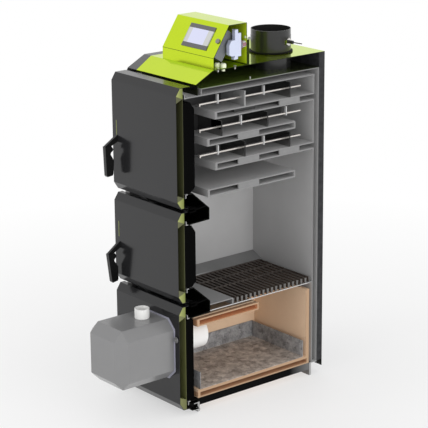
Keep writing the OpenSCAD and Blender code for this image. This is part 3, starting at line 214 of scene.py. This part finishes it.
def dress(node, material, ease, steps=2):
    """The CAD part, its edges eased, in its finish; it stands for the plain one."""
    plain = frame["nodes"][node]
    plain.data.materials.clear()
    plain.data.materials.append(material)
    piece = softened(node, ease, steps)
    fit_out(piece, plain["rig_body"], material)
    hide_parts(node)
    return piece


section_x = 0.144
rail_top_z, rear_rail_y = 0.041, 0.2
painted_light_from_y, painted_light_to_y = 0.20, 0.31


def sawn(here, depth=0.0008):
    """1 within depth of the plane along which the boiler is cut open, else 0."""
    return here.axis("X") > section_x - depth


def rail_steel(here):
    cloud = here.noise(30.0)
    rail = (here.axis("Z") < rail_top_z) + (here.axis("Y") > rear_rail_y) > 0.5
    bare = sawn(here, depth=0.0006) * rail
    # Painted light: the black turns grey towards the rear end of the rails.
    rear_painted_light = here.axis("Y").between(painted_light_from_y, painted_light_to_y)
    black = rear_painted_light.blend(cloud.blend(rgb(0.002), rgb(0.004)), rgb(0.17))
    colour = bare.blend(black, cloud.blend(rgb(0.34), rgb(0.46)))
    grain = here.noise(500.0).bump(0.1, 0.0002)
    return here.surface(colour, cloud * 0.2 + 0.3, grain, metal=bare * 0.3, gloss=0.03)


dress("base_rails", finish("rail_black_sawn_ends", rail_steel), ease=0.0007)

# Water jacket
# Outer and inner plates of 5 mm boiler steel, welded round the furnace with a space for
# the water between them. Their sawn edges are darkened as painted shade, to the tone of the shaded
# water space, and lime coat runs over the top, painted dark green as its shade under the hood.

enamel_from_z = 1.2915
enamel_shade_from_y, enamel_shade_full_y = 0.0, 0.25


def rolled_marks(here):
    """Fine marks that the rolls leave along a plate."""
    return here.stretched(1.0, 0.08, 1.0).noise(900.0, 2.0)


def cut_plate(name, tone, edge_painted_shade_tone, enamelled=False):
    """Boiler plate with a sawn edge darkened as painted shade, and lime coat on its top if it is
    enamelled, painted dark green as shade and darker towards the rear.
    """
    def shade(here):
        rolled = rolled_marks(here)
        level = here.noise(6.0, 4.0) * 0.75 + rolled * 0.25
        skin = level.blend(rgb(tone * 0.84), rgb(tone * 1.14, tone * 1.13, tone * 1.13))
        teeth = here.stretched(1.0, 1.0, 0.1).noise(1400.0, 2.0)
        # Painted shade: the sawn edge is darker than the face of the same plate.
        edge = teeth.blend(rgb(edge_painted_shade_tone * 0.9), rgb(edge_painted_shade_tone * 1.1))
        colour, rough, metal = sawn(here).blend(skin, edge), level * 0.14 + 0.46, 0.2
        if enamelled:
            enamel = here.axis("Z") > enamel_from_z
            # Painted shade: the lime coat under the hood is dark green and darker still towards the
            # rear.
            rearward_painted_shade = here.axis("Y").between(enamel_shade_from_y, enamel_shade_full_y)
            green = rearward_painted_shade.blend(rgb(0.10, 0.15, 0.025), rgb(0.030, 0.036, 0.014))
            colour = enamel.blend(colour, green)
            rough, metal = rough * (1 - enamel * 0.75), (1 - enamel) * metal
        return here.surface(colour, rough, rolled.bump(0.12, 0.0002), metal)
    return finish(name, shade)


jacket_plate = cut_plate("jacket_plate", tone=0.47, edge_painted_shade_tone=0.20, enamelled=True)
wall_plate = cut_plate("furnace_wall_plate", tone=0.52, edge_painted_shade_tone=0.22)
dress("jacket_outer_shell", jacket_plate, ease=0.0006)
dress("jacket_inner_shell", wall_plate, ease=0.0006)

# Water shelves
# Four flat hollow boxes of boiler plate that turn the gas back and forth, with short tie
# plates welded inside. Their tops are clean, their sawn edges darkened as painted shade, and the front
# tie plates of the top shelf dark with painted shade.

dress("water_shelves", cut_plate("shelf_plate", tone=0.49, edge_painted_shade_tone=0.25), ease=0.0007)

top_stays_z, front_stays_y = 1.15, 0.05


def tie_plate(here):
    level = here.noise(40.0, 4.0)
    # Painted shade: the front tie plates of the top shelf are made dark.
    painted_shade_zone = (here.axis("Z") > top_stays_z) * (here.axis("Y") < front_stays_y)
    unshaded_tone, dark = level.blend(rgb(0.20), rgb(0.26)), level.blend(rgb(0.04), rgb(0.06))
    marks = here.stretched(1.0, 0.1, 1.0).noise(900.0).bump(0.12, 0.0002)
    return here.surface(painted_shade_zone.blend(unshaded_tone, dark), level * 0.2 + 0.4, marks, metal=0.2)


dress("shelf_stays", finish("tie_plate", tie_plate), ease=0.0008)

# Turbulators
# Bright drawn rods with hooked front ends. They carry dark baffles that stand on the
# shelves, narrow bright tabs, and an upright web between the left and the right set.


def drawn_rod(here):
    drawn = here.stretched(1.0, 0.04, 1.0).noise(1500.0, 2.0)
    colour = here.noise(60.0).blend(rgb(0.66, 0.62, 0.58), rgb(0.82, 0.78, 0.74))
    return here.surface(colour, drawn * 0.15 + 0.15, drawn.bump(0.1, 0.0002), metal=0.8)


dress("turbulator_rods", finish("drawn_rod", drawn_rod), ease=0.001)

first_baffle_y, baffle_pitch = -0.158, 0.1153
furnace_top_z, pass_pitch = 1.263, 0.0995
top_pass_z = 1.19
web_half = 0.0014


def baffle_steel(here):
    x, y, z = map(here.axis, "XYZ")
    along = ((y - first_baffle_y) / baffle_pitch).maths("FLOOR")
    down = ((furnace_top_z - z) / pass_pitch).maths("FLOOR")
    tab = (along + down).maths("MODULO", 2.0) < 0.5
    # Painted shade: the upright web between the two sets is coloured near black.
    web = abs(x) < web_half
    # Painted reflection: the front baffle of the top pass is light grey and dull, standing for the
    # light it mirrors.
    front_painted_reflection = (z > top_pass_z) * (y < 0.0) * (x > web_half)
    # Painted reflection: the baffle faces that look along X are near black, standing for the dark they
    # mirror.
    edge = (abs(here.facing("X")) > 0.5) * (tab < 0.5) * (front_painted_reflection < 0.5)
    cloud = here.noise(18.0, 4.0)
    mirror = cloud.blend(rgb(0.28, 0.28, 0.275), rgb(0.40, 0.40, 0.39))
    light = cloud.blend(rgb(0.26), rgb(0.34))
    bright = cloud.blend(rgb(0.46), rgb(0.58))
    plates = edge.blend(tab.blend(front_painted_reflection.blend(mirror, light), bright), rgb(0.004))
    dull = tab + front_painted_reflection + web + edge > 0.5
    return here.surface(
        web.blend(plates, rgb(0.030)), dull * 0.35 + cloud * 0.05 + 0.05,
        here.noise(700.0).bump(0.05, 0.0001), metal=1 - dull * 0.85)


dress("turbulator_baffles", finish("baffle_steel", baffle_steel), ease=0.0004, steps=1)

# Furnace
# A sloping side plate and a front deck of boiler plate guide the fuel to three cast iron
# grates, which lie side by side on ledges, their slots wider at the bottom. At the
# section a bright bar under the grates carries their sawn ends.

lip_x, lip_z = -0.1735, 0.424
highlight_full_y, highlight_gone_y = -0.15, 0.05


def slope_coat(here):
    x, y, z = map(here.axis, "XYZ")
    cloud = here.noise(9.0, 4.0)
    # Painted highlight: a near white line along the edge of the plate, fading out towards the rear.
    painted_highlight = (x > lip_x) * (z > lip_z) * (1 - y.between(highlight_full_y, highlight_gone_y))
    colour = painted_highlight.blend(cloud.blend(rgb(0.18), rgb(0.26)), rgb(0.85))
    marks = rolled_marks(here).bump(0.12, 0.0002)
    return here.surface(colour, cloud * 0.16 + 0.42, marks, metal=0.2)


def mill_plate(name, tone, metal, rough, warm=1.0):
    """Rolled plate: cloudy grey scale with fine rolling marks."""
    def shade(here):
        rolled = rolled_marks(here)
        level = here.noise(7.0, 4.0) * 0.7 + rolled * 0.3
        dark = rgb(tone * 0.82, tone * 0.82, tone * 0.83)
        light = rgb(tone * 1.16 * warm, tone * 1.15, tone * 1.15)
        return here.surface(level.blend(dark, light), level * 0.16 + (rough - 0.08),
                            rolled.bump(0.12, 0.0002), metal)
    return finish(name, shade)


dress("furnace_slope_plate", finish("slope_plate", slope_coat), ease=0.001)
dress("furnace_front_deck", mill_plate("deck_plate", tone=0.28, metal=0.2, rough=0.42), ease=0.0008)


def cast_skin(here):
    sand = here.noise(900.0)
    cloud = here.noise(45.0, 4.0)
    rust = cloud.blend(rgb(0.035, 0.026, 0.021), rgb(0.085, 0.066, 0.055))
    iron = cloud.blend(rgb(0.10, 0.095, 0.09), rgb(0.16, 0.155, 0.15))
    return here.surface(sawn(here).blend(rust, iron), sand * 0.25 + 0.42,
                        sand.bump(0.35, 0.0005), metal=0.1)


dress("grate_castings", finish("sand_cast_iron", cast_skin), ease=0.0018)


def block(name, low, high, ease, body, material, steps=2):
    """Small solid between two corners, its edges eased."""
    low, high = Vector(low), Vector(high)
    work = bmesh.new()
    bmesh.ops.create_cube(work, size=1.0)
    bmesh.ops.scale(work, vec=high - low, verts=work.verts)
    bmesh.ops.translate(work, vec=(high + low) / 2, verts=work.verts)
    bmesh.ops.bevel(work, geom=work.edges[:], offset=ease, segments=steps, affect="EDGES", profile=0.5)
    mesh = bpy.data.meshes.new(name)
    work.to_mesh(mesh)
    work.free()
    fit_out(added(name, mesh), body, material)


bar_left_x, bar_right_x = section_x - 0.0035, section_x - 0.0002
bar_front_y, bar_rear_y = -0.218, 0.302
bar_low_z, bar_high_z = 0.4040, 0.4072
block("grate_rest_bar", (bar_left_x, bar_front_y, bar_low_z), (bar_right_x, bar_rear_y, bar_high_z),
      ease=0.0003, body=frame["nodes"]["grate_castings"]["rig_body"],
      material=mill_plate("rest_bar_steel", tone=0.62, metal=0.3, rough=0.4), steps=1)

# Lower chamber
# Floor, side and rear tiles of fired clay, and a hollow clay deflector that hangs under
# a steel plate. The ash pan is folded from galvanised sheet.

clay_saw_depth = 0.0015


def toned(colour, factor):
    """A colour made lighter or darker by a factor."""
    return rgb(*(min(1.0, part * factor) for part in colour[:3]))


def fired_clay(name, deep, pale, cut_tone, hollow_shade_tone, hollow_x, hollow_z):
    """Fired clay from deep to pale, dull where it is cut, and its hollow painted orange as the light
    and shade within it.
    """
    def shade(here):
        x, z = here.axis("X"), here.axis("Z")
        grain = here.noise(1200.0, 4.0)
        cloud = here.noise(9.0, 5.0)
        specks = here.noise(260.0, 2.0) > 0.68
        whole = x < section_x - clay_saw_depth
        hollow = whole * (z.within(*hollow_z) * (x > hollow_x)) > 0.5
        skin = whole.blend(rgb(*cut_tone), cloud.blend(rgb(*deep), rgb(*pale)))
        # Painted light and shade: the hollow gets its own orange tone.
        hollow_painted_shade = cloud.blend(rgb(*hollow_shade_tone), toned(hollow_shade_tone, 1.25))
        colour = (specks * 0.2).blend(hollow.blend(skin, hollow_painted_shade), rgb(0.40, 0.25, 0.15))
        return here.surface(colour, grain * 0.2 + 0.72, grain.bump(0.3, 0.0004))
    return finish(name, shade)


liner_clay = fired_clay(
    "liner_clay", deep=(0.78, 0.55, 0.37), pale=(0.90, 0.66, 0.46), cut_tone=(0.44, 0.29, 0.18),
    hollow_shade_tone=(0.48, 0.28, 0.16), hollow_x=-0.2, hollow_z=(0.0605, 0.0795))
deflector_clay = fired_clay(
    "deflector_clay", deep=(0.48, 0.31, 0.19), pale=(0.60, 0.40, 0.26), cut_tone=(0.46, 0.30, 0.185),
    hollow_shade_tone=(0.64, 0.33, 0.17), hollow_x=-0.17, hollow_z=(0.357, 0.379))
dress("chamber_liner", liner_clay, ease=0.0015)
dress("flame_deflector", deflector_clay, ease=0.0015)


def carrier_plate(here):
    cloud = here.noise(14.0, 4.0)
    skin = cloud.blend(rgb(0.40, 0.28, 0.19), rgb(0.54, 0.38, 0.26))
    return here.surface(sawn(here).blend(skin, rgb(0.36, 0.25, 0.165)), cloud * 0.2 + 0.4,
                        here.noise(500.0).bump(0.1, 0.0002), metal=0.2)


dress("deflector_carrier", finish("carrier_plate", carrier_plate), ease=0.0007)

pan_floor_z = 0.0935


def spangled_zinc(here):
    spangle = here.node("ShaderNodeTexVoronoi", {"feature": "F1"}, {
        "Vector": here.shifted(here.noise(40.0) * 0.02), "Scale": 48.0, "Randomness": 1.0}, out="Color")
    tone = here.node("ShaderNodeSeparateColor", {}, {0: spangle})
    patch = here.noise(26.0, 6.0, 0.75).between(0.36, 0.66)
    fine = here.noise(130.0, 6.0, 0.8).between(0.2, 0.8)
    level = (tone * 0.22 + fine * 0.48 + patch * 0.30).between(0.24, 0.76)
    walls = level.blend(rgb(0.15, 0.15, 0.155), rgb(0.54, 0.54, 0.55))
    # The floor of the pan is lighter and warmer in tone than its walls.
    pan_floor_tone = level.blend(rgb(0.165, 0.142, 0.125), rgb(0.72, 0.655, 0.60))
    return here.surface((here.axis("Z") < pan_floor_z).blend(walls, pan_floor_tone), fine * 0.3 + 0.42,
                        fine.bump(0.25, 0.0006), metal=0.2)


dress("ash_pan", finish("spangled_zinc", spangled_zinc), ease=0.0008)

# Casing
# Side and rear panels of 1.5 mm sheet, powder coated black, over boards of pressed
# mineral wool; the wool shows as a mottled strip along the section.

top_fold_z = 1.288


def powder_coat(name, colour, rough, peel=0.06, gloss=0.5):
    """Powder coat on sheet steel, with its fine orange peel."""
    def shade(here):
        haze = here.noise(5.0)
        return here.surface(haze.blend(toned(colour, 0.9), toned(colour, 1.08)),
                            haze * 0.06 + (rough - 0.03),
                            here.noise(420.0, 2.0).bump(peel, 0.0002), gloss=gloss)
    return finish(name, shade)


def side_coat(here):
    haze = here.noise(5.0)
    fold = here.axis("Z") > top_fold_z
    black, grey = haze.blend(rgb(0.012), rgb(0.014)), haze.blend(rgb(0.075), rgb(0.085))
    return here.surface(fold.blend(black, grey), haze * 0.06 + 0.14,
                        here.noise(420.0).bump(0.06, 0.0002))


side_panel = dress("side_panel", finish("side_black_coat", side_coat), ease=0.0005)
dress("rear_panel", powder_coat("casing_black_coat", rgb(0.013, 0.014, 0.012), rough=0.16), ease=0.0005)

# The top front corner of the side panel is snipped off along the edge of the trim.
snip_top_y, snip_top_z = -0.277, 1.3085
snip_foot_y, snip_foot_z = -0.300, 1.270
work = bmesh.new()
work.from_mesh(side_panel.data)
snip = bmesh.ops.bisect_plane(
    work, geom=work.verts[:] + work.edges[:] + work.faces[:], clear_outer=True,
    plane_co=(0, snip_top_y, snip_top_z),
    plane_no=(0, snip_foot_z - snip_top_z, snip_top_y - snip_foot_y))
open_edges = [part for part in snip["geom_cut"] if isinstance(part, bmesh.types.BMEdge)]
bmesh.ops.holes_fill(work, edges=open_edges)
work.to_mesh(side_panel.data)
work.free()


def pressed_wool(here):
    fibre = here.stretched(1.0, 1.0, 0.25).noise(420.0, 5.0, 0.7)
    tuft = here.noise(42.0, 5.0, 0.65).between(0.32, 0.72)
    colour = (tuft * 0.75 + fibre * 0.25).blend(rgb(0.005, 0.005, 0.006), rgb(0.044, 0.044, 0.048))
    return here.surface(colour, fibre * 0.15 + 0.8, fibre.bump(0.5, 0.0012))


dress("casing_insulation", finish("pressed_wool", pressed_wool), ease=0.001)

# Cross members and front strips
# Black enamelled channels behind the gaps between the doors, an upright plate over the
# upper door, light seat strips round the openings with a braided rope in front of them.

channel_black = powder_coat(
    "channel_black_gloss", rgb(0.0015, 0.0018, 0.001), rough=0.12, peel=0.03, gloss=0.1)
# Painted reflection: the upright plate's black has an olive tint for the lime coat it mirrors.
black_painted_lime_reflection = powder_coat(
    "black_gloss_painted_lime_reflection", rgb(0.008, 0.010, 0.003), rough=0.14, peel=0.03, gloss=0.15)
dress("cross_members", channel_black, ease=0.0008)
dress("top_front_member", black_painted_lime_reflection, ease=0.0006)
dress("door_seat_strips", mill_plate("seat_strip_steel", tone=0.36, metal=0.3, rough=0.4), ease=0.0005)


def braided_rope(here):
    strand = here.node("ShaderNodeTexWave", {"wave_type": "BANDS", "bands_direction": "DIAGONAL"},
                       {"Vector": here, "Scale": 90.0, "Distortion": 1.0}, out="Fac")
    return here.surface(strand.blend(rgb(0.003), rgb(0.016)), strand * 0.1 + 0.8,
                        strand.bump(0.6, 0.001), gloss=0.1)


dress("rope_seals", finish("braided_rope", braided_rope), ease=0.0024, steps=3)

# Doors
# Each door is a folded sheet shell in dark grey enamel, with an inner frame and a black board.
# In the section the frame shows olive, painted shade that darkens to the rear and is lighter on
# the lower door, and lime, painted light, where its bevels catch the light.

door_front_y = -0.374
bevel_rise, bevel_lean = 0.029, 0.42
lug_from_x = section_x + 0.0006


def door_enamel(here):
    peel = here.noise(420.0, 2.0).bump(0.05, 0.0002)
    haze = here.noise(5.0)
    grey = haze.blend(rgb(0.0115, 0.0115, 0.0125), rgb(0.0135, 0.0135, 0.0145))
    coat = here.surface(grey, haze * 0.06 + 0.14, peel, gloss=0.42)
    lug = here.surface(haze.blend(rgb(0.001), rgb(0.002)), 0.7, peel, gloss=0.02)
    return here.node("ShaderNodeMixShader", {}, {0: here.axis("X") > lug_from_x, 1: coat, 2: lug})


def frame_coat(name, low, high, olive, lit_foot):
    """Olive coat that darkens to the rear as painted shade, lime on the bevels at the section as
    painted light, at the foot only where lit_foot says so.
    """
    def shade(here):
        depth, z = here.axis("Y") - door_front_y, here.axis("Z")
        slant = depth * bevel_lean + bevel_rise
        bevel = z > high - slant
        if lit_foot:
            bevel = bevel + (z < slant + low)
        haze = here.noise(9.0)
        red, green, blue = olive
        deep = rgb(red * 0.8, green * 0.8, blue * 0.7)
        # Painted shade: the olive darkens towards the rear of the frame.
        dark = (haze * 0.5 + depth * 12.0).blend(toned(olive, 1.5), deep)
        lime = (depth * 26.0 + haze * 0.3).blend(rgb(0.40, 0.43, 0.15), rgb(0.17, 0.20, 0.045))
        lit = bevel * sawn(here, depth=0.002) > 0.5
        return here.surface(lit.blend(dark, lime), haze * 0.1 + 0.25,
                            here.noise(420.0).bump(0.05, 0.0002), gloss=0.3)
    return finish(name, shade)


def black_board(here):
    pressed = here.noise(300.0, 4.0)
    return here.surface(pressed.blend(rgb(0.001), rgb(0.003)), pressed * 0.2 + 0.5,
                        pressed.bump(0.2, 0.0004), gloss=0.015)


door_rows = ("upper", "middle", "lower")
door_coat = finish("door_dark_grey_coat", door_enamel)
board = finish("coated_black_board", black_board)
# Painted light: the olive is set lighter from the upper to the lower frame.
frame_coats = (
    frame_coat("upper_frame_olive_coat", low=0.841, high=1.308,
               olive=(0.078, 0.081, 0.038), lit_foot=True),
    frame_coat("middle_frame_olive_coat", low=0.465, high=0.826,
               olive=(0.090, 0.094, 0.044), lit_foot=True),
    frame_coat("lower_frame_olive_coat", low=0.024, high=0.450,
               olive=(0.135, 0.142, 0.056), lit_foot=False))
for row, olive_coat in zip(door_rows, frame_coats):
    dress(row + "_door_shell", door_coat, ease=0.0012, steps=3)
    dress(row + "_door_frame", olive_coat, ease=0.0006)
    dress(row + "_door_lining", board, ease=0.0012)

# Hinge brackets
# Black steel brackets on the front of the body that hold the pins of the doors. The
# lowest one is left bare at its end, like the sawn rail beside it.

bare_bracket_x, bare_bracket_z = 0.1455, 0.045


def bracket_coat(here):
    cloud = here.noise(30.0)
    bare = (here.axis("Z") < bare_bracket_z) * (here.axis("X") > bare_bracket_x)
    return here.surface(bare.blend(rgb(0.0012), cloud.blend(rgb(0.34), rgb(0.46))), cloud * 0.2 + 0.5,
                        here.noise(500.0).bump(0.1, 0.0002), gloss=0.02)


dress("hinge_brackets", finish("bracket_coat", bracket_coat), ease=0.0005)

# Handles
# Gloss black moulded grips, hollow behind the fingers, each on a shaft that turns
# a latch cam. A short lime line is let into the door above the upper two.


def moulded(name, colour, rough, gloss=0.5):
    """Moulded plastic with a fine spark-eroded grain."""
    def shade(here):
        spark = here.noise(500.0, 2.0)
        return here.surface(here.noise(25.0).blend(colour, toned(colour, 1.12)),
                            spark * 0.08 + (rough - 0.04), spark.bump(0.15, 0.0002), gloss=gloss)
    return finish(name, shade)


grip_black = moulded("grip_gloss_black", rgb(0.0085), rough=0.17, gloss=0.4)
for row in door_rows:
    dress(row + "_door_handle", grip_black, ease=0.0024, steps=3)

line_x, line_w = -0.232, 0.0045
line_proud, line_sunk = 0.0008, 0.0004
line_ends_z = {"upper": (1.062, 1.124), "middle": (0.652, 0.715)}
line_coat = powder_coat("lime_line_coat", rgb(0.17, 0.19, 0.055), rough=0.3)
for row, (low, high) in line_ends_z.items():
    block(row + "_door_line", (line_x - line_w / 2, door_front_y - line_proud, low),
          (line_x + line_w / 2, door_front_y + line_sunk, high), ease=0.0004,
          body=frame["nodes"][row + "_door_shell"]["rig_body"], material=line_coat)

# Burner
# Grey coated sheet cover with bevelled edges on an octagonal flange, white coated flame
# tube and pellet inlet, and inside them the feed screw, the fan wheel and their motors.

cover_coat = powder_coat("burner_grey_coat", rgb(0.215, 0.215, 0.217), rough=0.24, peel=0.04)
flange_coat = powder_coat("flange_grey_coat", rgb(0.33, 0.33, 0.40), rough=0.3, peel=0.04)
dress("burner_cover", cover_coat, ease=0.002, steps=3)
dress("burner_flange", flange_coat, ease=0.0008)
white_coat = powder_coat("white_heat_coat", rgb(0.90, 0.895, 0.88), rough=0.32, peel=0.05)
dress("flame_tube", white_coat, ease=0.0008)
dress("pellet_inlet", white_coat, ease=0.001)
dress("burner_nuts", mill_plate("nut_zinc", tone=0.24, metal=0.5, rough=0.35), ease=0.0006)
dress("feed_auger", mill_plate("screw_steel", tone=0.33, metal=0.5, rough=0.4), ease=0)
fan_steel = mill_plate("fan_wheel_steel", tone=0.26, metal=0.4, rough=0.42)
dress("burner_fan_wheel", fan_steel, ease=0.0003, steps=1)
dress("burner_drives", powder_coat("motor_grey_coat", rgb(0.12, 0.12, 0.13), rough=0.35), ease=0.001)

# Flue outlet
# Rolled pipe in dark grey enamel through the top cover, a rubber ring round its foot, and
# a chrome hexagon bush that holds the flue gas sensor with its black body.

dress("flue_outlet", powder_coat("flue_dark_coat", rgb(0.020), rough=0.2, peel=0.05), ease=0.0009)


def black_rubber(here):
    bloom = here.noise(60.0, 4.0)
    return here.surface(bloom.blend(rgb(0.002), rgb(0.006)), bloom * 0.15 + 0.5,
                        here.noise(500.0).bump(0.2, 0.0002), gloss=0.1)


dress("flue_gasket", finish("gasket_rubber", black_rubber), ease=0.0015, steps=3)


def chrome_bush(here):
    spots = here.noise(300.0)
    return here.surface(spots.blend(rgb(0.62, 0.60, 0.57), rgb(0.74, 0.72, 0.69)), spots * 0.08 + 0.12,
                        spots.bump(0.05, 0.0002), metal=1.0)


dress("flue_sensor_bush", finish("chrome_bush", chrome_bush), ease=0.0008)
dress("flue_sensor_probe", moulded("sensor_black", rgb(0.012, 0.012, 0.014), rough=0.4), ease=0.0008)

# Water sockets and drain cock
# Black steel sockets for flow and return at the rear, and a cast brass drain cock with a
# red coated lever.

socket_coat = powder_coat("socket_black_coat", rgb(0.03, 0.03, 0.032), rough=0.35)
dress("water_sockets", socket_coat, ease=0.0008)


def cast_brass(here):
    sand = here.noise(700.0)
    tarnish = here.noise(40.0, 4.0)
    return here.surface(tarnish.blend(rgb(0.42, 0.30, 0.11), rgb(0.62, 0.47, 0.20)), sand * 0.15 + 0.28,
                        sand.bump(0.15, 0.0003), metal=0.9)


dress("drain_cock_body", finish("cast_brass", cast_brass), ease=0.0008)
dress("drain_cock_lever", moulded("red_lever_coat", rgb(0.42, 0.018, 0.015), rough=0.35), ease=0.0008)

# Hood and top cover
# Lime coated sheets over the body: a sloping hood panel and the top cover, with a dark
# grey trim along their left edge.

seam_front_y, seam_low_z, seam_high_z = -0.1895, 1.3962, 1.3980
rear_wall_y, rear_wall_z = -0.0296, 1.357


def lime_enamel(here):
    y, z = here.axis("Y"), here.axis("Z")
    haze = here.noise(5.0)
    # Painted shade: the undersides are dark olive like the sawn edges and the seam.
    underside_painted_shade = here.facing("Z") < -0.5
    seam = (y < seam_front_y) * z.within(seam_low_z, seam_high_z)
    dark = sawn(here, depth=0.0012) + underside_painted_shade + seam > 0.5
    bright = haze.blend(rgb(0.52, 0.69, 0.018), rgb(0.58, 0.75, 0.022))
    rear = (y > rear_wall_y) * (z > rear_wall_z) * (here.facing("Y") < -0.5)
    return here.surface(dark.blend(bright, rgb(0.03, 0.045, 0.006)), haze * 0.04 + 0.10,
                        here.noise(420.0, 2.0).bump(0.03, 0.0001), metal=0.9 - rear * 0.9)


lime_coat = finish("lime_coat", lime_enamel)
dress("top_cover", lime_coat, ease=0.0005)
dress("hood_slope_panel", lime_coat, ease=0.0005)
dress("hood_side_trim", powder_coat("trim_grey_coat", rgb(0.080, 0.080, 0.082), rough=0.3), ease=0.0005)

# Control box
# Folded from lime coated sheet, cut open by the section. Behind the sloping face sit the
# controller case and a module on a hat rail; glands and screws hold the leads and floor.

dress("control_box", lime_coat, ease=0.0008, steps=3)
dress("control_module", moulded("module_pale_blue", rgb(0.55, 0.59, 0.74), rough=0.4), ease=0.0008)


def hat_rail(here):
    cloud = here.noise(40.0)
    zinc = cloud.blend(rgb(0.62), rgb(0.74))
    tinted = cloud.blend(rgb(0.28, 0.13, 0.17), rgb(0.36, 0.18, 0.22))
    return here.surface(sawn(here, depth=0.0035).blend(zinc, tinted), cloud * 0.2 + 0.3,
                        here.noise(700.0).bump(0.05, 0.0001), metal=0.1)


dress("mounting_rail", finish("hat_rail_zinc", hat_rail), ease=0.0003, steps=1)
dress("cable_glands", moulded("gland_cream", rgb(0.80, 0.84, 0.62), rough=0.4), ease=0.0012)
button_plastic = moulded("button_grey_brown", rgb(0.22, 0.20, 0.20), rough=0.35)
screw_zinc = mill_plate("bright_zinc_steel", tone=0.55, metal=0.7, rough=0.3, warm=1.02)
dress("power_button", button_plastic, ease=0.00025, steps=1)
dress("cover_screws", screw_zinc, ease=0.0006)

# Display
# A grey moulded bezel, lighter on both sides of its lit glass, and behind it the blue
# grey case of the controller. The glass shows nothing but its back light.

bezel_middle_x, bezel_middle_z = 0.009, 1.4585
window_half_w, window_half_h = 0.0705, 0.025
bezel_lean, bezel_back_y = 0.66, -0.148
glass_left_x, glass_right_x = -0.041, 0.053


def bezel_plastic(here):
    spark = here.noise(500.0, 2.0)
    across, y, up = here.axis("X") - bezel_middle_x, here.axis("Y"), here.axis("Z") - bezel_middle_z
    beside = (abs(across) > window_half_w) * up.within(-window_half_h, window_half_h)
    case = y - up * bezel_lean > bezel_back_y
    grey = case.blend(rgb(0.115, 0.115, 0.118), rgb(0.17, 0.18, 0.19))
    return here.surface((beside * (1 - case)).blend(grey, rgb(0.42, 0.43, 0.40)), spark * 0.08 + 0.31,
                        spark.bump(0.15, 0.0002))


dress("display_housing", finish("bezel_grey", bezel_plastic), ease=0.0016, steps=3)


def lit_glass(here):
    x = here.axis("X")
    beside = (x < glass_left_x) + (x > glass_right_x)
    glow = beside.blend(rgb(0.70, 0.72, 0.93), rgb(0.60, 0.61, 0.59))
    return here.node("ShaderNodeBsdfPrincipled", {}, {
        "Base Color": rgb(0.02), "Roughness": here.noise(60.0) * 0.03 + 0.08,
        "Emission Color": glow, "Emission Strength": 0.93})


dress("display_screen", finish("lit_glass", lit_glass), ease=0.0004)

# Floor and backdrop
# A plain pale floor that fades to white away from the boiler and keeps its shadow. It is
# the stage only, and no part of the boiler.

floor_half = 9.0
fade_from, fade_to = 0.6, 2.8
white_share = 0.55
corners = [(x * floor_half, y * floor_half, 0) for x, y in ((-1, -1), (1, -1), (1, 1), (-1, 1))]
floor_mesh = bpy.data.meshes.new("studio_floor")
floor_mesh.from_pydata(corners, [], [(0, 1, 2, 3)])
floor = added("studio_floor", floor_mesh)


def pale_floor(here):
    far = here.node("ShaderNodeVectorMath", {"operation": "LENGTH"}, {0: here}, out="Value")
    fade = far.between(fade_from, fade_to) * (1 - white_share) + white_share
    pale = here.node("ShaderNodeBsdfPrincipled", {}, {
        "Base Color": here.noise(3.0).blend(rgb(0.86), rgb(0.89)), "Roughness": 0.6})
    white = here.node("ShaderNodeEmission", {}, {"Color": rgb(1.0), "Strength": 1.0})
    return here.node("ShaderNodeMixShader", {}, {0: fade, 1: pale, 2: white})


floor.data.materials.append(finish("pale_floor", pale_floor))

# Light
# Even white sky, seen as plain white by the camera and in gloss, and two large soft
# panels, above at the front and to the right.

sky_strength, panel_size = 0.75, 3.2
world = bpy.data.worlds.new("studio_sky")
bpy.context.scene.world = world
world.use_nodes = True
sky = world.node_tree
sky.nodes.clear()
rays = sky.nodes.new("ShaderNodeLightPath").outputs
seen, glossy, through = (
    Wire(sky, rays[f"Is {ray} Ray"]) for ray in ("Camera", "Glossy", "Transmission"))
shown = seen.maths("MAXIMUM", glossy.maths("MAXIMUM", through))
fill = shown.node("ShaderNodeBackground", {}, {"Color": rgb(1.0), "Strength": sky_strength})
white = shown.node("ShaderNodeBackground", {}, {"Color": rgb(1.0), "Strength": 1.0})
backdrop = shown.node("ShaderNodeMixShader", {}, {0: shown, 1: fill, 2: white})
sky.links.new(backdrop.socket, sky.nodes.new("ShaderNodeOutputWorld").inputs["Surface"])

for name, place, aim, power in (
        ("front_panel", (-0.6, -5.0, 2.6), (0, 0, 0.7), 60.0),
        ("right_panel", (5.0, -0.4, 1.6), (0, 0, 0.8), 90.0)):
    lamp = bpy.data.lights.new(name, "AREA")
    lamp.size, lamp.energy = panel_size, power
    panel = added(name, lamp)
    panel.location = place
    panel.rotation_euler = (Vector(aim) - Vector(place)).to_track_quat("-Z", "Y").to_euler()
    panel.visible_glossy = False

# Camera
# Where the photograph was taken from: about seven metres off, from the front right, and
# 2.7 m above the floor.

camera_place = Vector((5.1235, -4.2519, 2.7031))
back = Vector((0.74316, -0.60536, 0.28505)).normalized()
turn, roll = radians(50.835), radians(-0.477)
level = Vector((cos(turn), sin(turn), 0))
plumb = back.cross(level)
across = level * cos(roll) + plumb * sin(roll)
upright = plumb * cos(roll) - level * sin(roll)
lens = bpy.data.cameras.new("photo_view")
lens.sensor_width, lens.lens = 36.0, 147.06
lens.clip_start, lens.clip_end = 0.1, 60.0
view = added("photo_view", lens)
view.matrix_world = (
    Matrix.Translation(camera_place) @ Matrix((across, upright, back)).transposed().to_4x4())
bpy.context.scene.camera = view
bpy.context.scene.view_settings.view_transform = "Standard"
